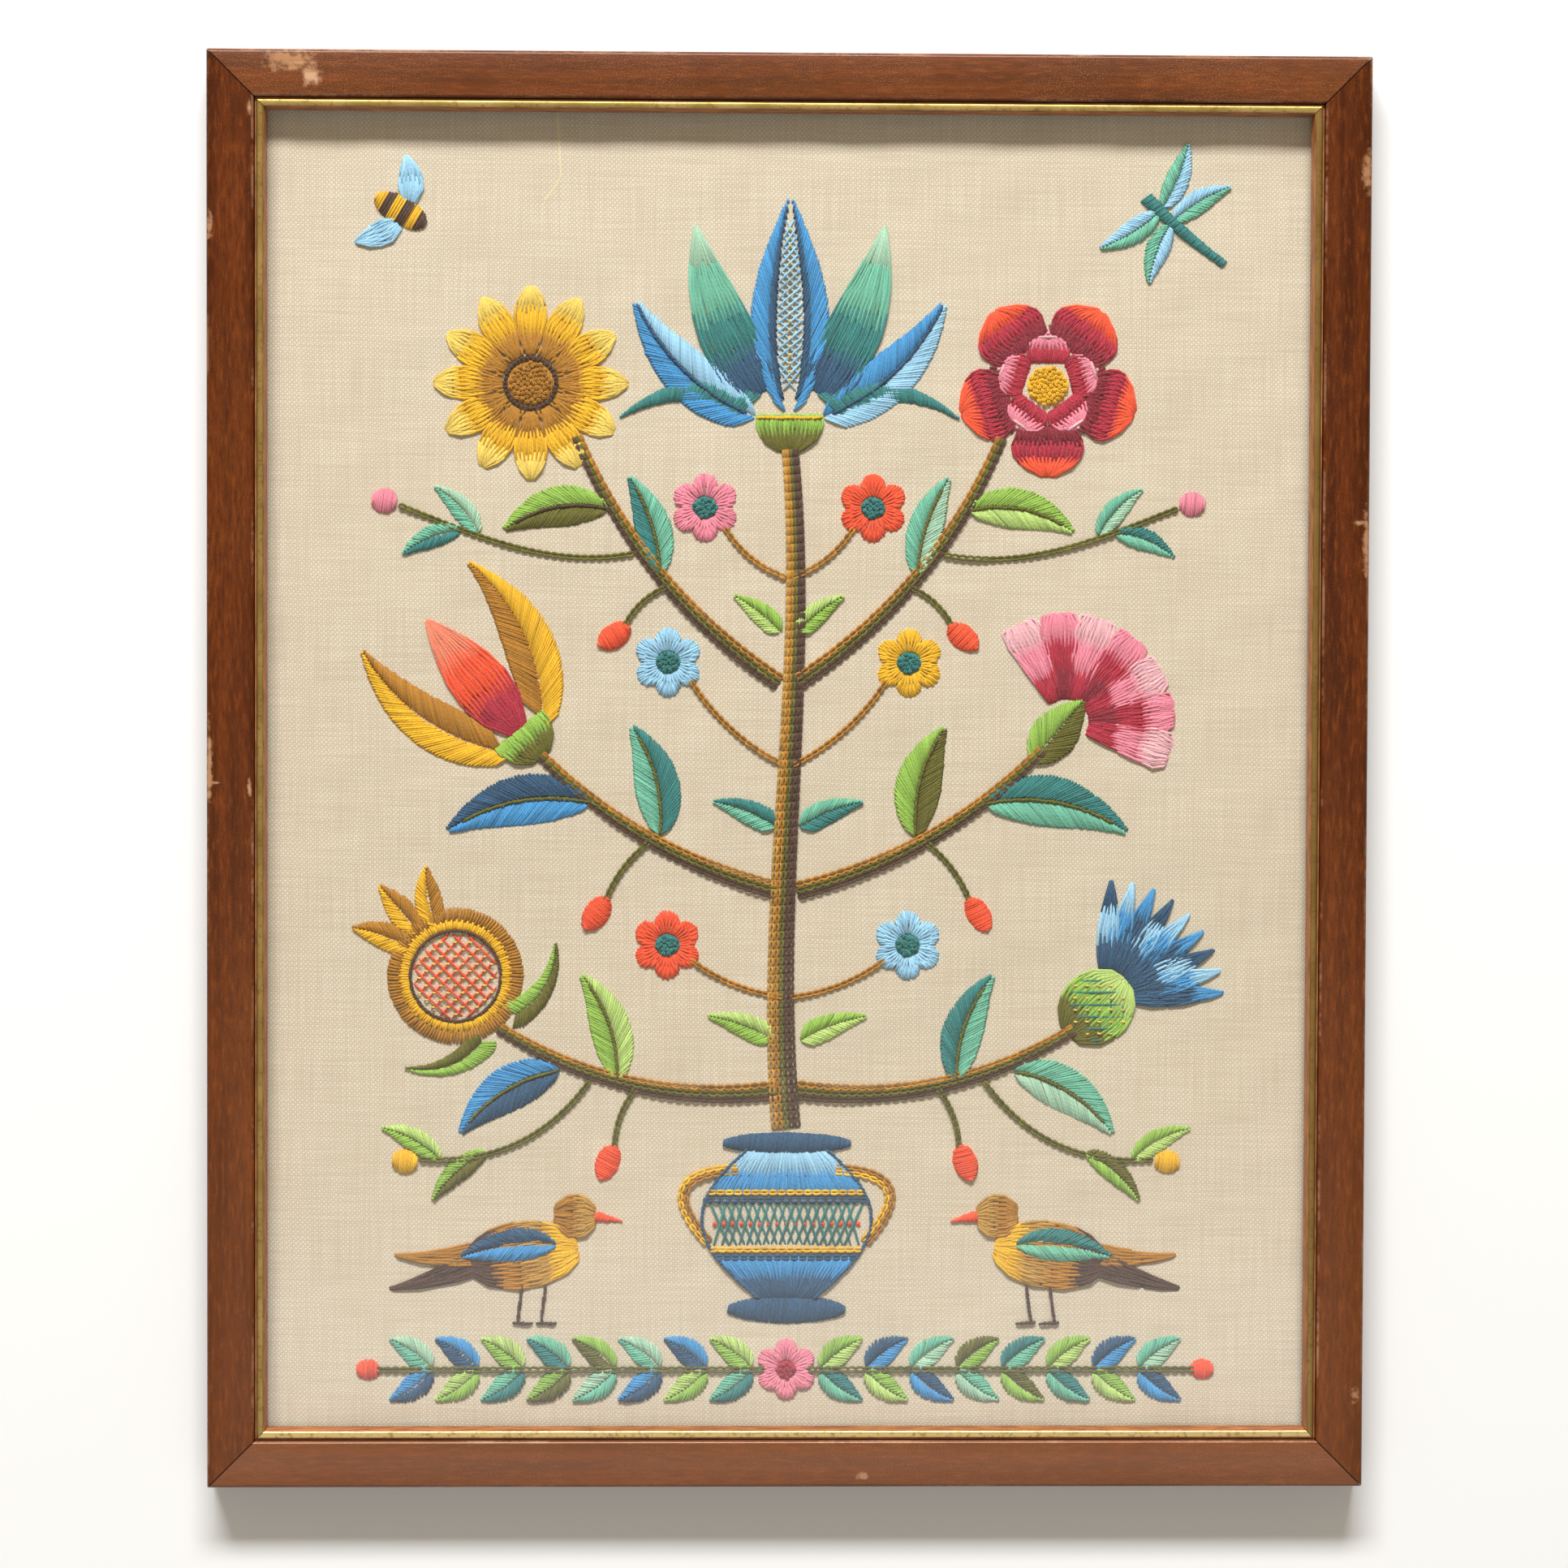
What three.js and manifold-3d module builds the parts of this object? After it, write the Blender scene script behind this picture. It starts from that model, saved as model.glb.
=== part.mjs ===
// Framed crewel embroidery panel, lying on its back: a linen ground stretched over a board and worked
// with wool yarn, behind glass in a mitred hardwood frame with a gilt slip.
// Millimetres, +Z out of the picture, +Y its upper edge; the origin is the middle of the frame's back face.
import * as THREE from "three";
import { mergeVertices } from "three/addons/utils/BufferGeometryUtils.js";
import Module from "manifold-3d";

const wasm = await Module();
wasm.setup();

// Driving sizes: the picture area that shows, and the moulding round it.
const SIGHT_WIDTH = 396;
const SIGHT_HEIGHT = 500;
const RAIL_WIDTH = 22.2;
const RAIL_DEPTH = 20;
const FACE_WIDTH = 17.8;
const EDGE_ROUND = 1.5;
const LEDGE_TOP = 15;
const LIP_UNDERSIDE = 12;
const LIP_REACH = 5;
const MITRE_REACH = 40;
const SLIP_HEIGHT = 3.4;
const SLIP_ARRIS = 1;
const SLIP_SKIRT = 0.7;
const SLIP_QUIRK = 0.5;
const QUIRK_DEPTH = 1.1;
const SIGHT_SLOPE = 0.7;
const CLEARANCE = 0.3;

// What is stacked in the rebate, from the front.
const GLASS_THICK = 2;
const LINEN_THICK = 1.2;
const BOARD_THICK = 3;
const YARN_ROOM = 2.1;
const YARN_HEIGHT = 1.2;

// Stitched shapes: the length of a step along a side, the fewest and most steps, the narrowest tip,
// and the room left between neighbours.
const STEP_LENGTH = 6;
const LEAST_STEPS = 6;
const MOST_STEPS = 18;
const TIP_HALF = 0.5;
const YARN_GAP = 0.35;

const OUTER_WIDTH = SIGHT_WIDTH + 2 * RAIL_WIDTH;
const OUTER_HEIGHT = SIGHT_HEIGHT + 2 * RAIL_WIDTH;
const SEAT_WIDTH = SIGHT_WIDTH + 2 * LIP_REACH;
const SEAT_HEIGHT = SIGHT_HEIGHT + 2 * LIP_REACH;
const REBATE_WALL = RAIL_WIDTH - LIP_REACH - CLEARANCE;
const GLASS_BOTTOM = LIP_UNDERSIDE - CLEARANCE - GLASS_THICK;
const LINEN_TOP = GLASS_BOTTOM - YARN_ROOM;
const LINEN_BOTTOM = LINEN_TOP - LINEN_THICK;
const BOARD_BOTTOM = LINEN_BOTTOM - CLEARANCE - BOARD_THICK;
const YARN_BOTTOM = LINEN_TOP + CLEARANCE;

// Finishes: the frame, the cloth and the yarns.
const finish = (color, roughness, metalness = 0) =>
  new THREE.MeshStandardMaterial({ color, roughness, metalness });
const WOOD = finish(0x6a3216, 0.45);
const GILT = finish(0xab8f57, 0.4, 0.8);
const CARD = finish(0x9c8262, 0.9);
const LINEN = finish(0xdccba8, 0.95);
const CLEAR = finish(0xeef2ee, 0.05);
CLEAR.transparent = true;
CLEAR.opacity = 0.2;
const YARN = {
  navy: finish(0x2f5a7c, 0.9),
  sky: finish(0x569bcb, 0.9),
  paleBlue: finish(0xa3cae0, 0.9),
  teal: finish(0x3f8481, 0.9),
  seaGreen: finish(0x7bb8a0, 0.9),
  leafGreen: finish(0x9bbd63, 0.9),
  olive: finish(0x66642c, 0.9),
  gold: finish(0xe9b431, 0.9),
  ochre: finish(0xab7629, 0.9),
  brown: finish(0x563a30, 0.9),
  coral: finish(0xef5f42, 0.9),
  pink: finish(0xe993a3, 0.9),
  crimson: finish(0xb23a4c, 0.9),
};

const part = new THREE.Group();

// A closed geometry as a solid that can be joined and cut, and back.
function solidOf(geometry) {
  const bare = geometry.clone();
  bare.deleteAttribute("normal");
  bare.deleteAttribute("uv");
  const merged = mergeVertices(bare);
  return new wasm.Manifold(
    new wasm.Mesh({
      numProp: 3,
      vertProperties: merged.attributes.position.array,
      triVerts: new Uint32Array(merged.index.array),
    }),
  );
}

function geometryOf(solid) {
  const mesh = solid.getMesh();
  const geometry = new THREE.BufferGeometry();
  geometry.setAttribute("position", new THREE.BufferAttribute(mesh.vertProperties, 3));
  geometry.setIndex(new THREE.BufferAttribute(mesh.triVerts, 1));
  geometry.computeVertexNormals();
  return geometry;
}

const joined = (solids) => solids.reduce((all, solid) => all.add(solid));

function addNode(name, geometry, material) {
  const mesh = new THREE.Mesh(geometry, material);
  mesh.name = name;
  part.add(mesh);
  return mesh;
}

// Sheet goods: a plain rectangle standing on a level.
function addSheet(name, width, height, thick, bottom, material) {
  const mesh = addNode(name, new THREE.BoxGeometry(width, height, thick), material);
  mesh.position.z = bottom + thick / 2;
}

// The moulding's section, from the outer edge inwards: a face with rounded arrises, a ledge for the slip,
// and a lip over the rebate.
function railSection() {
  const lipEdge = RAIL_WIDTH - SLIP_SKIRT - CLEARANCE;
  const section = new THREE.Shape();
  section.moveTo(0, 0);
  section.lineTo(REBATE_WALL, 0);
  section.lineTo(REBATE_WALL, LIP_UNDERSIDE);
  section.lineTo(lipEdge, LIP_UNDERSIDE);
  section.lineTo(lipEdge, LEDGE_TOP);
  section.lineTo(FACE_WIDTH, LEDGE_TOP);
  section.lineTo(FACE_WIDTH, RAIL_DEPTH - EDGE_ROUND);
  section.absarc(FACE_WIDTH - EDGE_ROUND, RAIL_DEPTH - EDGE_ROUND, EDGE_ROUND, 0, Math.PI / 2);
  section.lineTo(EDGE_ROUND, RAIL_DEPTH);
  section.absarc(EDGE_ROUND, RAIL_DEPTH - EDGE_ROUND, EDGE_ROUND, Math.PI / 2, Math.PI);
  return section;
}

// The gilt slip's section: a sunk quirk beside the wood, a gilded band with a rounded inner arris, and a
// steep sight edge whose skirt hides the lip and comes down to the glass.
function slipSection() {
  const low = LEDGE_TOP + CLEARANCE;
  const high = low + SLIP_HEIGHT;
  const outer = FACE_WIDTH + CLEARANCE;
  const bandEnd = RAIL_WIDTH - SIGHT_SLOPE;
  const section = new THREE.Shape();
  section.moveTo(outer, low);
  section.lineTo(RAIL_WIDTH - SLIP_SKIRT, low);
  section.lineTo(RAIL_WIDTH - SLIP_SKIRT, LIP_UNDERSIDE);
  section.lineTo(RAIL_WIDTH, LIP_UNDERSIDE);
  section.lineTo(bandEnd, high - SLIP_ARRIS);
  section.absarc(bandEnd - SLIP_ARRIS, high - SLIP_ARRIS, SLIP_ARRIS, 0, Math.PI / 2);
  section.lineTo(outer + SLIP_QUIRK, high);
  section.lineTo(outer + SLIP_QUIRK, high - QUIRK_DEPTH);
  section.lineTo(outer, high - QUIRK_DEPTH);
  return section;
}

// One mitred length: the section run along a side, then cut at 45 degrees at both ends.
// The section's x runs inwards from the frame's outer edge, and its y is the height.
function mitredLength(section, sideLength, sideOffset) {
  const sweep = { depth: sideLength, bevelEnabled: false, curveSegments: 4 };
  const run = new THREE.ExtrudeGeometry(section, sweep);
  run.translate(0, 0, -sideLength / 2);
  run.rotateX(Math.PI / 2);
  run.rotateZ(Math.PI / 2);
  const reach = sideLength / 2 - CLEARANCE / 2;
  const mitre = new THREE.Shape([
    new THREE.Vector2(-reach, 0),
    new THREE.Vector2(reach, 0),
    new THREE.Vector2(reach - MITRE_REACH, MITRE_REACH),
    new THREE.Vector2(-reach + MITRE_REACH, MITRE_REACH),
  ]);
  const wedge = new THREE.ExtrudeGeometry(mitre, { depth: 3 * RAIL_DEPTH, bevelEnabled: false });
  wedge.translate(0, 0, -RAIL_DEPTH);
  const geometry = geometryOf(solidOf(run).intersect(solidOf(wedge)));
  return geometry.translate(0, -sideOffset, 0);
}

const SIDES = [
  { side: "bottom", turn: 0, length: OUTER_WIDTH, offset: OUTER_HEIGHT / 2 },
  { side: "right", turn: 90, length: OUTER_HEIGHT, offset: OUTER_WIDTH / 2 },
  { side: "top", turn: 180, length: OUTER_WIDTH, offset: OUTER_HEIGHT / 2 },
  { side: "left", turn: 270, length: OUTER_HEIGHT, offset: OUTER_WIDTH / 2 },
];
for (const { side, turn, length, offset } of SIDES) {
  const angle = THREE.MathUtils.degToRad(turn);
  addNode(`rail_${side}`, mitredLength(railSection(), length, offset), WOOD).rotation.z = angle;
  addNode(`gilt_slip_${side}`, mitredLength(slipSection(), length, offset), GILT).rotation.z = angle;
}
addSheet("glass_pane", SEAT_WIDTH, SEAT_HEIGHT, GLASS_THICK, GLASS_BOTTOM, CLEAR);
addSheet("linen_panel", SEAT_WIDTH, SEAT_HEIGHT, LINEN_THICK, LINEN_BOTTOM, LINEN);
addSheet("mount_board", SEAT_WIDTH, SEAT_HEIGHT, BOARD_THICK, BOARD_BOTTOM, CARD);

// Half-widths of a stitched shape along its spine, as shares of its widest.
const FORMS = {
  stem: () => 1,
  leaf: (t) => Math.sin(Math.PI * t ** 0.8) ** 0.9,
  petal: (t) => Math.sin(Math.PI * t ** 1.3) ** 0.7,
  horn: (t) => (1 - t) ** 0.8 * Math.min(1, 0.45 + 4 * t),
  fan: (t) => (0.2 + 0.8 * t) * Math.min(1, (1 - t) / 0.08 + 0.35),
  oval: (t) => Math.sqrt(Math.max(0, 1 - (2 * t - 1) ** 2)),
  urn: (t) => Math.sin(Math.PI * (0.1 + 0.75 * t)),
};

// A stitched shape from a root to a tip: a cubic spine bowed to its left (+) or right (-), with a half-width
// along it.
const shape = (form, root, tip, half, bow = 0, bowEnd = bow, tipHalf = half) => ({
  form,
  root: new THREE.Vector2(...root),
  tip: new THREE.Vector2(...tip),
  half,
  bow,
  bowEnd,
  tipHalf,
});
const disc = (x, y, radius) => shape("oval", [x - radius, y], [x + radius, y], radius);

// The same shape set down at a place: local x runs along the heading, and a mirrored one is turned over
// its own axis.
function placed(piece, { x, y, heading = 0, mirror = 1 }) {
  const angle = THREE.MathUtils.degToRad(heading);
  const origin = new THREE.Vector2();
  const place = new THREE.Vector2(x, y);
  const moved = (p) => new THREE.Vector2(p.x, p.y * mirror).rotateAround(origin, angle).add(place);
  return {
    ...piece,
    root: moved(piece.root),
    tip: moved(piece.tip),
    bow: piece.bow * mirror,
    bowEnd: piece.bowEnd * mirror,
  };
}

function stepsOf(form, bow, length) {
  if (form === "stem" && bow === 0) return 1;
  return THREE.MathUtils.clamp(Math.round(length / STEP_LENGTH), LEAST_STEPS, MOST_STEPS);
}

function outlineOf({ form, root, tip, half, bow, bowEnd, tipHalf }, grow) {
  const line = tip.clone().sub(root);
  const left = new THREE.Vector2(-line.y, line.x).normalize();
  const forward = line.clone().normalize();
  const start = root.clone().addScaledVector(forward, -grow);
  const end = tip.clone().addScaledVector(forward, grow);
  const spine = new THREE.CubicBezierCurve(
    start,
    start.clone().lerp(end, 1 / 3).addScaledVector(left, bow),
    start.clone().lerp(end, 2 / 3).addScaledVector(left, bowEnd),
    end,
  );
  const steps = stepsOf(form, bow, line.length());
  const sides = [[], []];
  for (let step = 0; step <= steps; step += 1) {
    const t = step / steps;
    const along = spine.getTangent(t);
    const across = new THREE.Vector2(-along.y, along.x);
    const widest = half + (tipHalf - half) * t;
    const reach = Math.max(TIP_HALF, widest * FORMS[form](t)) + grow;
    sides[0].push(spine.getPoint(t).addScaledVector(across, -reach));
    sides[1].push(spine.getPoint(t).addScaledVector(across, reach));
  }
  return [...sides[0], ...sides[1].reverse()];
}

function padOf(piece, grow = 0) {
  const outline = new THREE.Shape(outlineOf(piece, grow));
  const depth = YARN_HEIGHT + 2 * grow;
  const pad = new THREE.ExtrudeGeometry(outline, { depth, bevelEnabled: false });
  return solidOf(pad.translate(0, 0, YARN_BOTTOM - grow));
}

// Each worked motif is one solid, kept clear of every motif laid before it.
let taken = null;
function addMotif(name, yarn, pieces) {
  let solid = joined(pieces.map((piece) => padOf(piece)));
  if (taken) solid = solid.subtract(taken);
  const bodies = solid.decompose().sort((a, b) => b.volume() - a.volume());
  addNode(name, geometryOf(bodies[0]), yarn);
  const room = joined(pieces.map((piece) => padOf(piece, YARN_GAP)));
  taken = taken ? taken.add(room) : room;
}

// Shapes set round a centre, one for each angle.
const ringOf = (count, start, make) =>
  Array.from({ length: count }, (_, i) => placed(make(), { x: 0, y: 0, heading: start + (360 * i) / count }));
const pairOf = (make) => [1, -1].map(make);

// The large flowers, each in its own frame: x runs from the stem's end to the flower's tip.
const FLOWER_PARTS = {
  palmette: () => [
    { part: "heart", yarn: YARN.paleBlue, pieces: [shape("leaf", [8, 0], [92, 0], 15)] },
    {
      part: "fan",
      yarn: YARN.sky,
      pieces: [
        shape("oval", [-6, 0], [18, 0], 13),
        ...pairOf((s) => shape("leaf", [6, 4 * s], [80, 36 * s], 11, 7 * s)),
        ...pairOf((s) => shape("leaf", [5, 6 * s], [54, 60 * s], 10, 11 * s)),
        ...pairOf((s) => shape("horn", [4, 4 * s], [6, 66 * s], 8, -16 * s)),
      ],
    },
  ],
  rose: () => [
    { part: "heart", yarn: YARN.gold, pieces: [disc(0, 0, 8)] },
    {
      part: "inner",
      yarn: YARN.pink,
      pieces: [disc(0, 0, 13), ...ringOf(5, 90, () => shape("petal", [4, 0], [20, 0], 8.6))],
    },
    {
      part: "outer",
      yarn: YARN.crimson,
      pieces: [disc(0, 0, 23), ...ringOf(5, 54, () => shape("petal", [8, 0], [35, 0], 14))],
    },
  ],
  daisy: () => [
    { part: "heart", yarn: YARN.ochre, pieces: [disc(0, 0, 11)] },
    {
      part: "rays",
      yarn: YARN.gold,
      pieces: [disc(0, 0, 15), ...ringOf(12, 0, () => shape("petal", [9, 0], [37, 0], 6.4))],
    },
  ],
  tulip: () => [
    { part: "heart", yarn: YARN.coral, pieces: [shape("leaf", [6, 0], [64, 0], 11)] },
    {
      part: "cup",
      yarn: YARN.gold,
      pieces: [
        shape("oval", [-5, 0], [20, 0], 12),
        ...pairOf((s) => shape("leaf", [0, 4 * s], [72, 26 * s], 10, 13 * s)),
      ],
    },
  ],
  carnation: () => [
    { part: "calyx", yarn: YARN.leafGreen, pieces: [shape("leaf", [-6, 0], [26, 0], 9)] },
    {
      part: "frill",
      yarn: YARN.pink,
      pieces: [-66, -44, -22, 0, 22, 44, 66].map((heading) =>
        placed(shape("fan", [4, 0], [42, 0], 9), { x: 14, y: 0, heading }),
      ),
    },
  ],
  pomegranate: () => [
    { part: "heart", yarn: YARN.coral, pieces: [disc(30, 0, 17)] },
    {
      part: "rind",
      yarn: YARN.ochre,
      pieces: [
        disc(30, 0, 26),
        shape("leaf", [50, 0], [76, 0], 5.5),
        ...pairOf((s) => shape("leaf", [48, 6 * s], [70, 19 * s], 5.5, -2 * s)),
        ...pairOf((s) => shape("horn", [6, 2 * s], [16, 38 * s], 7, 9 * s)),
      ],
    },
  ],
  thistle: () => [
    { part: "bulb", yarn: YARN.leafGreen, pieces: [shape("oval", [0, 0], [31, 0], 14)] },
    {
      part: "tuft",
      yarn: YARN.sky,
      pieces: [
        shape("oval", [16, 0], [38, 0], 13),
        ...[-42, -31.5, -21, -10.5, 0, 10.5, 21, 31.5, 42].map((heading) =>
          placed(shape("leaf", [6, 0], [46, 0], 4.4), { x: 20, y: 0, heading }),
        ),
      ],
    },
  ],
};
const FLOWERS = [
  { name: "palmette", x: 0, y: 128, heading: 90 },
  { name: "rose", x: 98.5, y: 148, heading: 0 },
  { name: "daisy", x: -98.5, y: 148, heading: 0 },
  { name: "tulip", x: -97, y: 9, heading: 130 },
  { name: "carnation", x: 97, y: 9, heading: 50 },
  { name: "pomegranate", x: -107.5, y: -101, heading: 130 },
  { name: "thistle", x: 107.5, y: -100.5, heading: 45 },
];
for (const place of FLOWERS) {
  for (const { part: layer, yarn, pieces } of FLOWER_PARTS[place.name]()) {
    addMotif(`${place.name}_${layer}`, yarn, pieces.map((piece) => placed(piece, place)));
  }
}

// Small six-petalled flowers and berries on their sprigs.
const SMALL_FLOWERS = [
  { name: "small_flower_low_left", x: -46, y: -66, yarn: YARN.coral },
  { name: "small_flower_low_right", x: 46, y: -66, yarn: YARN.paleBlue },
  { name: "small_flower_mid_left", x: -46, y: 42, yarn: YARN.paleBlue },
  { name: "small_flower_mid_right", x: 46, y: 42, yarn: YARN.gold },
  { name: "small_flower_high_left", x: -32, y: 101, yarn: YARN.pink },
  { name: "small_flower_high_right", x: 32, y: 101, yarn: YARN.coral },
];
for (const { name, x, y, yarn } of SMALL_FLOWERS) {
  const petals = ringOf(6, 30, () => shape("petal", [1, 0], [13.5, 0], 4.6));
  addMotif(name, yarn, [disc(0, 0, 5), ...petals].map((piece) => placed(piece, { x, y })));
}

const SIDE_NAMES = [
  { side: "right", mirror: 1 },
  { side: "left", mirror: -1 },
];
const flipped = (piece, mirror) => ({
  ...piece,
  root: new THREE.Vector2(piece.root.x * mirror, piece.root.y),
  tip: new THREE.Vector2(piece.tip.x * mirror, piece.tip.y),
  bow: piece.bow * mirror,
  bowEnd: piece.bowEnd * mirror,
});
const BERRIES = [
  { level: "low", root: [66, -143], tip: [71, -156] },
  { level: "mid", root: [69, -48], tip: [77, -60] },
  { level: "high", root: [61, 56], tip: [72, 48] },
];
for (const { side, mirror } of SIDE_NAMES) {
  for (const { level, root, tip } of BERRIES) {
    addMotif(`berry_${level}_${side}`, YARN.coral, [flipped(shape("oval", root, tip, 5), mirror)]);
  }
}

// The urn, with its foot, rim and two handles.
const URN = { x: 0, y: -202, heading: 90 };
addMotif(
  "urn",
  YARN.sky,
  [
    shape("urn", [0, 0], [58, 0], 33),
    shape("oval", [-4, -23], [-4, 23], 5.5),
    shape("oval", [60, -25], [60, 25], 4.5),
    ...pairOf((s) => shape("stem", [50, 18 * s], [22, 30 * s], 2.2, -22 * s)),
  ].map((piece) => placed(piece, URN)),
);

// Two birds at the foot, facing the urn.
const BIRDS = [
  { name: "bird_left", x: -98, y: -190, heading: 0, mirror: 1, wing: YARN.sky },
  { name: "bird_right", x: 98, y: -190, heading: 180, mirror: -1, wing: YARN.teal },
];
for (const { name, wing, ...place } of BIRDS) {
  addMotif(`${name}_wing`, wing, [placed(shape("leaf", [10, 9], [-28, 4], 7, -3), place)]);
  addMotif(
    `${name}_body`,
    YARN.ochre,
    [
      shape("oval", [-25, 2], [19, 8], 13),
      disc(17, 20, 8.5),
      shape("horn", [24, 20], [35, 18], 2.6),
      shape("horn", [-18, 4], [-54, -8], 6, 2),
      shape("horn", [-18, 6], [-52, 5], 5, 2),
      ...[-3, 6].map((x) => shape("stem", [x, -6], [x - 2, -21], 1.1)),
      ...[-5, 4].map((x) => shape("horn", [x - 2, -21], [x + 6, -21.4], 1.1)),
    ].map((piece) => placed(piece, place)),
  );
}

// A garland along the foot: pairs of leaves that lean outwards from a blossom, and a berry at each end.
const GARLAND = { y: -229, reach: 160, pairs: 8, start: 13, stride: 17.5, lean: 17, rise: 12, half: 5.2 };
const GARLAND_BERRY = 4.5;
const garlandLeaf = (x, outward, up) => {
  const tip = [x + outward * GARLAND.lean, GARLAND.y + up * GARLAND.rise];
  return shape("leaf", [x, GARLAND.y], tip, GARLAND.half, 2 * up * outward);
};
const garlandHalf = (outward) => [
  ...Array.from({ length: GARLAND.pairs }, (_, i) => {
    const x = outward * (GARLAND.start + i * GARLAND.stride);
    return [garlandLeaf(x, outward, 1), garlandLeaf(x, outward, -1)];
  }).flat(),
  disc(outward * GARLAND.reach, GARLAND.y, GARLAND_BERRY),
];
const garlandBlossom = ringOf(6, 30, () => shape("petal", [1, 0], [12, 0], 4.2));
addMotif("garland", YARN.seaGreen, [
  shape("stem", [-GARLAND.reach, GARLAND.y], [GARLAND.reach, GARLAND.y], 1.5),
  ...garlandBlossom.map((petal) => placed(petal, { x: 0, y: GARLAND.y })),
  ...garlandHalf(1),
  ...garlandHalf(-1),
]);

// The main stem, its branches, sprigs and tendrils, and the small leaves and buds on them, all one growth.
const BRANCHES = [
  { root: [0, -121], tip: [110, -98], half: 3.8, bow: -14, tipHalf: 2.2 },
  { root: [0, -46], tip: [97, 9], half: 3.6, bow: -11, tipHalf: 2 },
  { root: [0, 32], tip: [81, 128], half: 3.4, bow: -13, tipHalf: 2 },
  { root: [0, -86], tip: [38, -71], half: 1.4, bow: -4, tipHalf: 1.1 },
  { root: [0, 2], tip: [38, 36], half: 1.4, bow: -5, tipHalf: 1.1 },
  { root: [0, 74], tip: [25, 94], half: 1.4, bow: -4, tipHalf: 1.1 },
  { root: [57, -120], tip: [66, -144], half: 1.2, bow: 3, tipHalf: 1 },
  { root: [52, -26], tip: [70, -50], half: 1.2, bow: 3, tipHalf: 1 },
  { root: [46, 71], tip: [63, 55], half: 1.2, bow: 3, tipHalf: 1 },
  { root: [74, -116], tip: [142, -148], half: 1.3, bow: -15, bowEnd: -15, tipHalf: 1 },
  { root: [56, 84], tip: [150, 102], half: 1.3, bow: -14, bowEnd: -6, tipHalf: 1 },
];
const SMALL_LEAVES = [
  { root: [0, -106], tip: [32, -93], half: 5, bow: 3 },
  { root: [0, -24], tip: [30, -11], half: 5, bow: 3 },
  { root: [0, 50], tip: [22, 68], half: 4.5, bow: 2 },
  { root: [114, -145], tip: [136, -165], half: 4.5, bow: 3 },
  { root: [132, -149], tip: [156, -136], half: 4.5, bow: 3 },
  { root: [124, 92], tip: [148, 82], half: 4.5, bow: 3 },
  { root: [118, 90], tip: [136, 109], half: 4.5, bow: 3 },
];
const BUDS = [
  { x: 146, y: -149, radius: 5 },
  { x: 154, y: 103, radius: 5 },
];
const growth = [
  ...BRANCHES.map(({ root, tip, half, bow, bowEnd = bow, tipHalf }) =>
    shape("stem", root, tip, half, bow, bowEnd, tipHalf),
  ),
  ...SMALL_LEAVES.map(({ root, tip, half, bow }) => shape("leaf", root, tip, half, bow)),
  ...BUDS.map(({ x, y, radius }) => disc(x, y, radius)),
];
addMotif("stems", YARN.brown, [
  shape("stem", [0, -139], [0, 126], 5.5, 9, -9, 3),
  ...SIDE_NAMES.flatMap(({ mirror }) => growth.map((piece) => flipped(piece, mirror))),
]);

// Leaves along the branches, alike in shape on both sides and differing in yarn.
const LEAVES = [
  { name: "low_upper", root: [65, -119], tip: [80, -76], half: 8, bow: 6, yarns: ["teal", "leafGreen"] },
  { name: "low_under", root: [86, -114], tip: [126, -140], half: 9, bow: 7, yarns: ["seaGreen", "navy"] },
  { name: "mid_upper", root: [49, -25], tip: [61, 19], half: 9, bow: 6, yarns: ["leafGreen", "seaGreen"] },
  { name: "mid_under", root: [74, -12], tip: [132, -24], half: 10, bow: 9, yarns: ["teal", "sky"] },
  { name: "high_upper", root: [49, 75], tip: [62, 114], half: 7, bow: 4, yarns: ["seaGreen", "teal"] },
  { name: "high_under", root: [68, 100], tip: [110, 91], half: 8, bow: 7, yarns: ["leafGreen", "olive"] },
];
for (const { name, root, tip, half, bow, yarns } of LEAVES) {
  SIDE_NAMES.forEach(({ side, mirror }, i) => {
    addMotif(`leaf_${name}_${side}`, YARN[yarns[i]], [flipped(shape("leaf", root, tip, half, bow), mirror)]);
  });
}

// Two insects in the upper corners.
addMotif(
  "bee",
  YARN.gold,
  [
    shape("oval", [-11, 0], [11, 0], 6),
    ...pairOf((s) => shape("leaf", [2, 3 * s], [-9, 19 * s], 5, -2 * s)),
  ].map((piece) => placed(piece, { x: -148, y: 213, heading: -30 })),
);
addMotif(
  "dragonfly",
  YARN.teal,
  [
    shape("stem", [-26, 0], [14, 0], 1.8, 1, 1, 2.8),
    ...pairOf((s) => shape("leaf", [6, 0], [15, 27 * s], 4.6, 2 * s)),
    ...pairOf((s) => shape("leaf", [0, 1], [-9, 25 * s], 4.6, -2 * s)),
  ].map((piece) => placed(piece, { x: 146, y: 211, heading: 140 })),
);

export default part;
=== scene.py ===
import math

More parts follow.
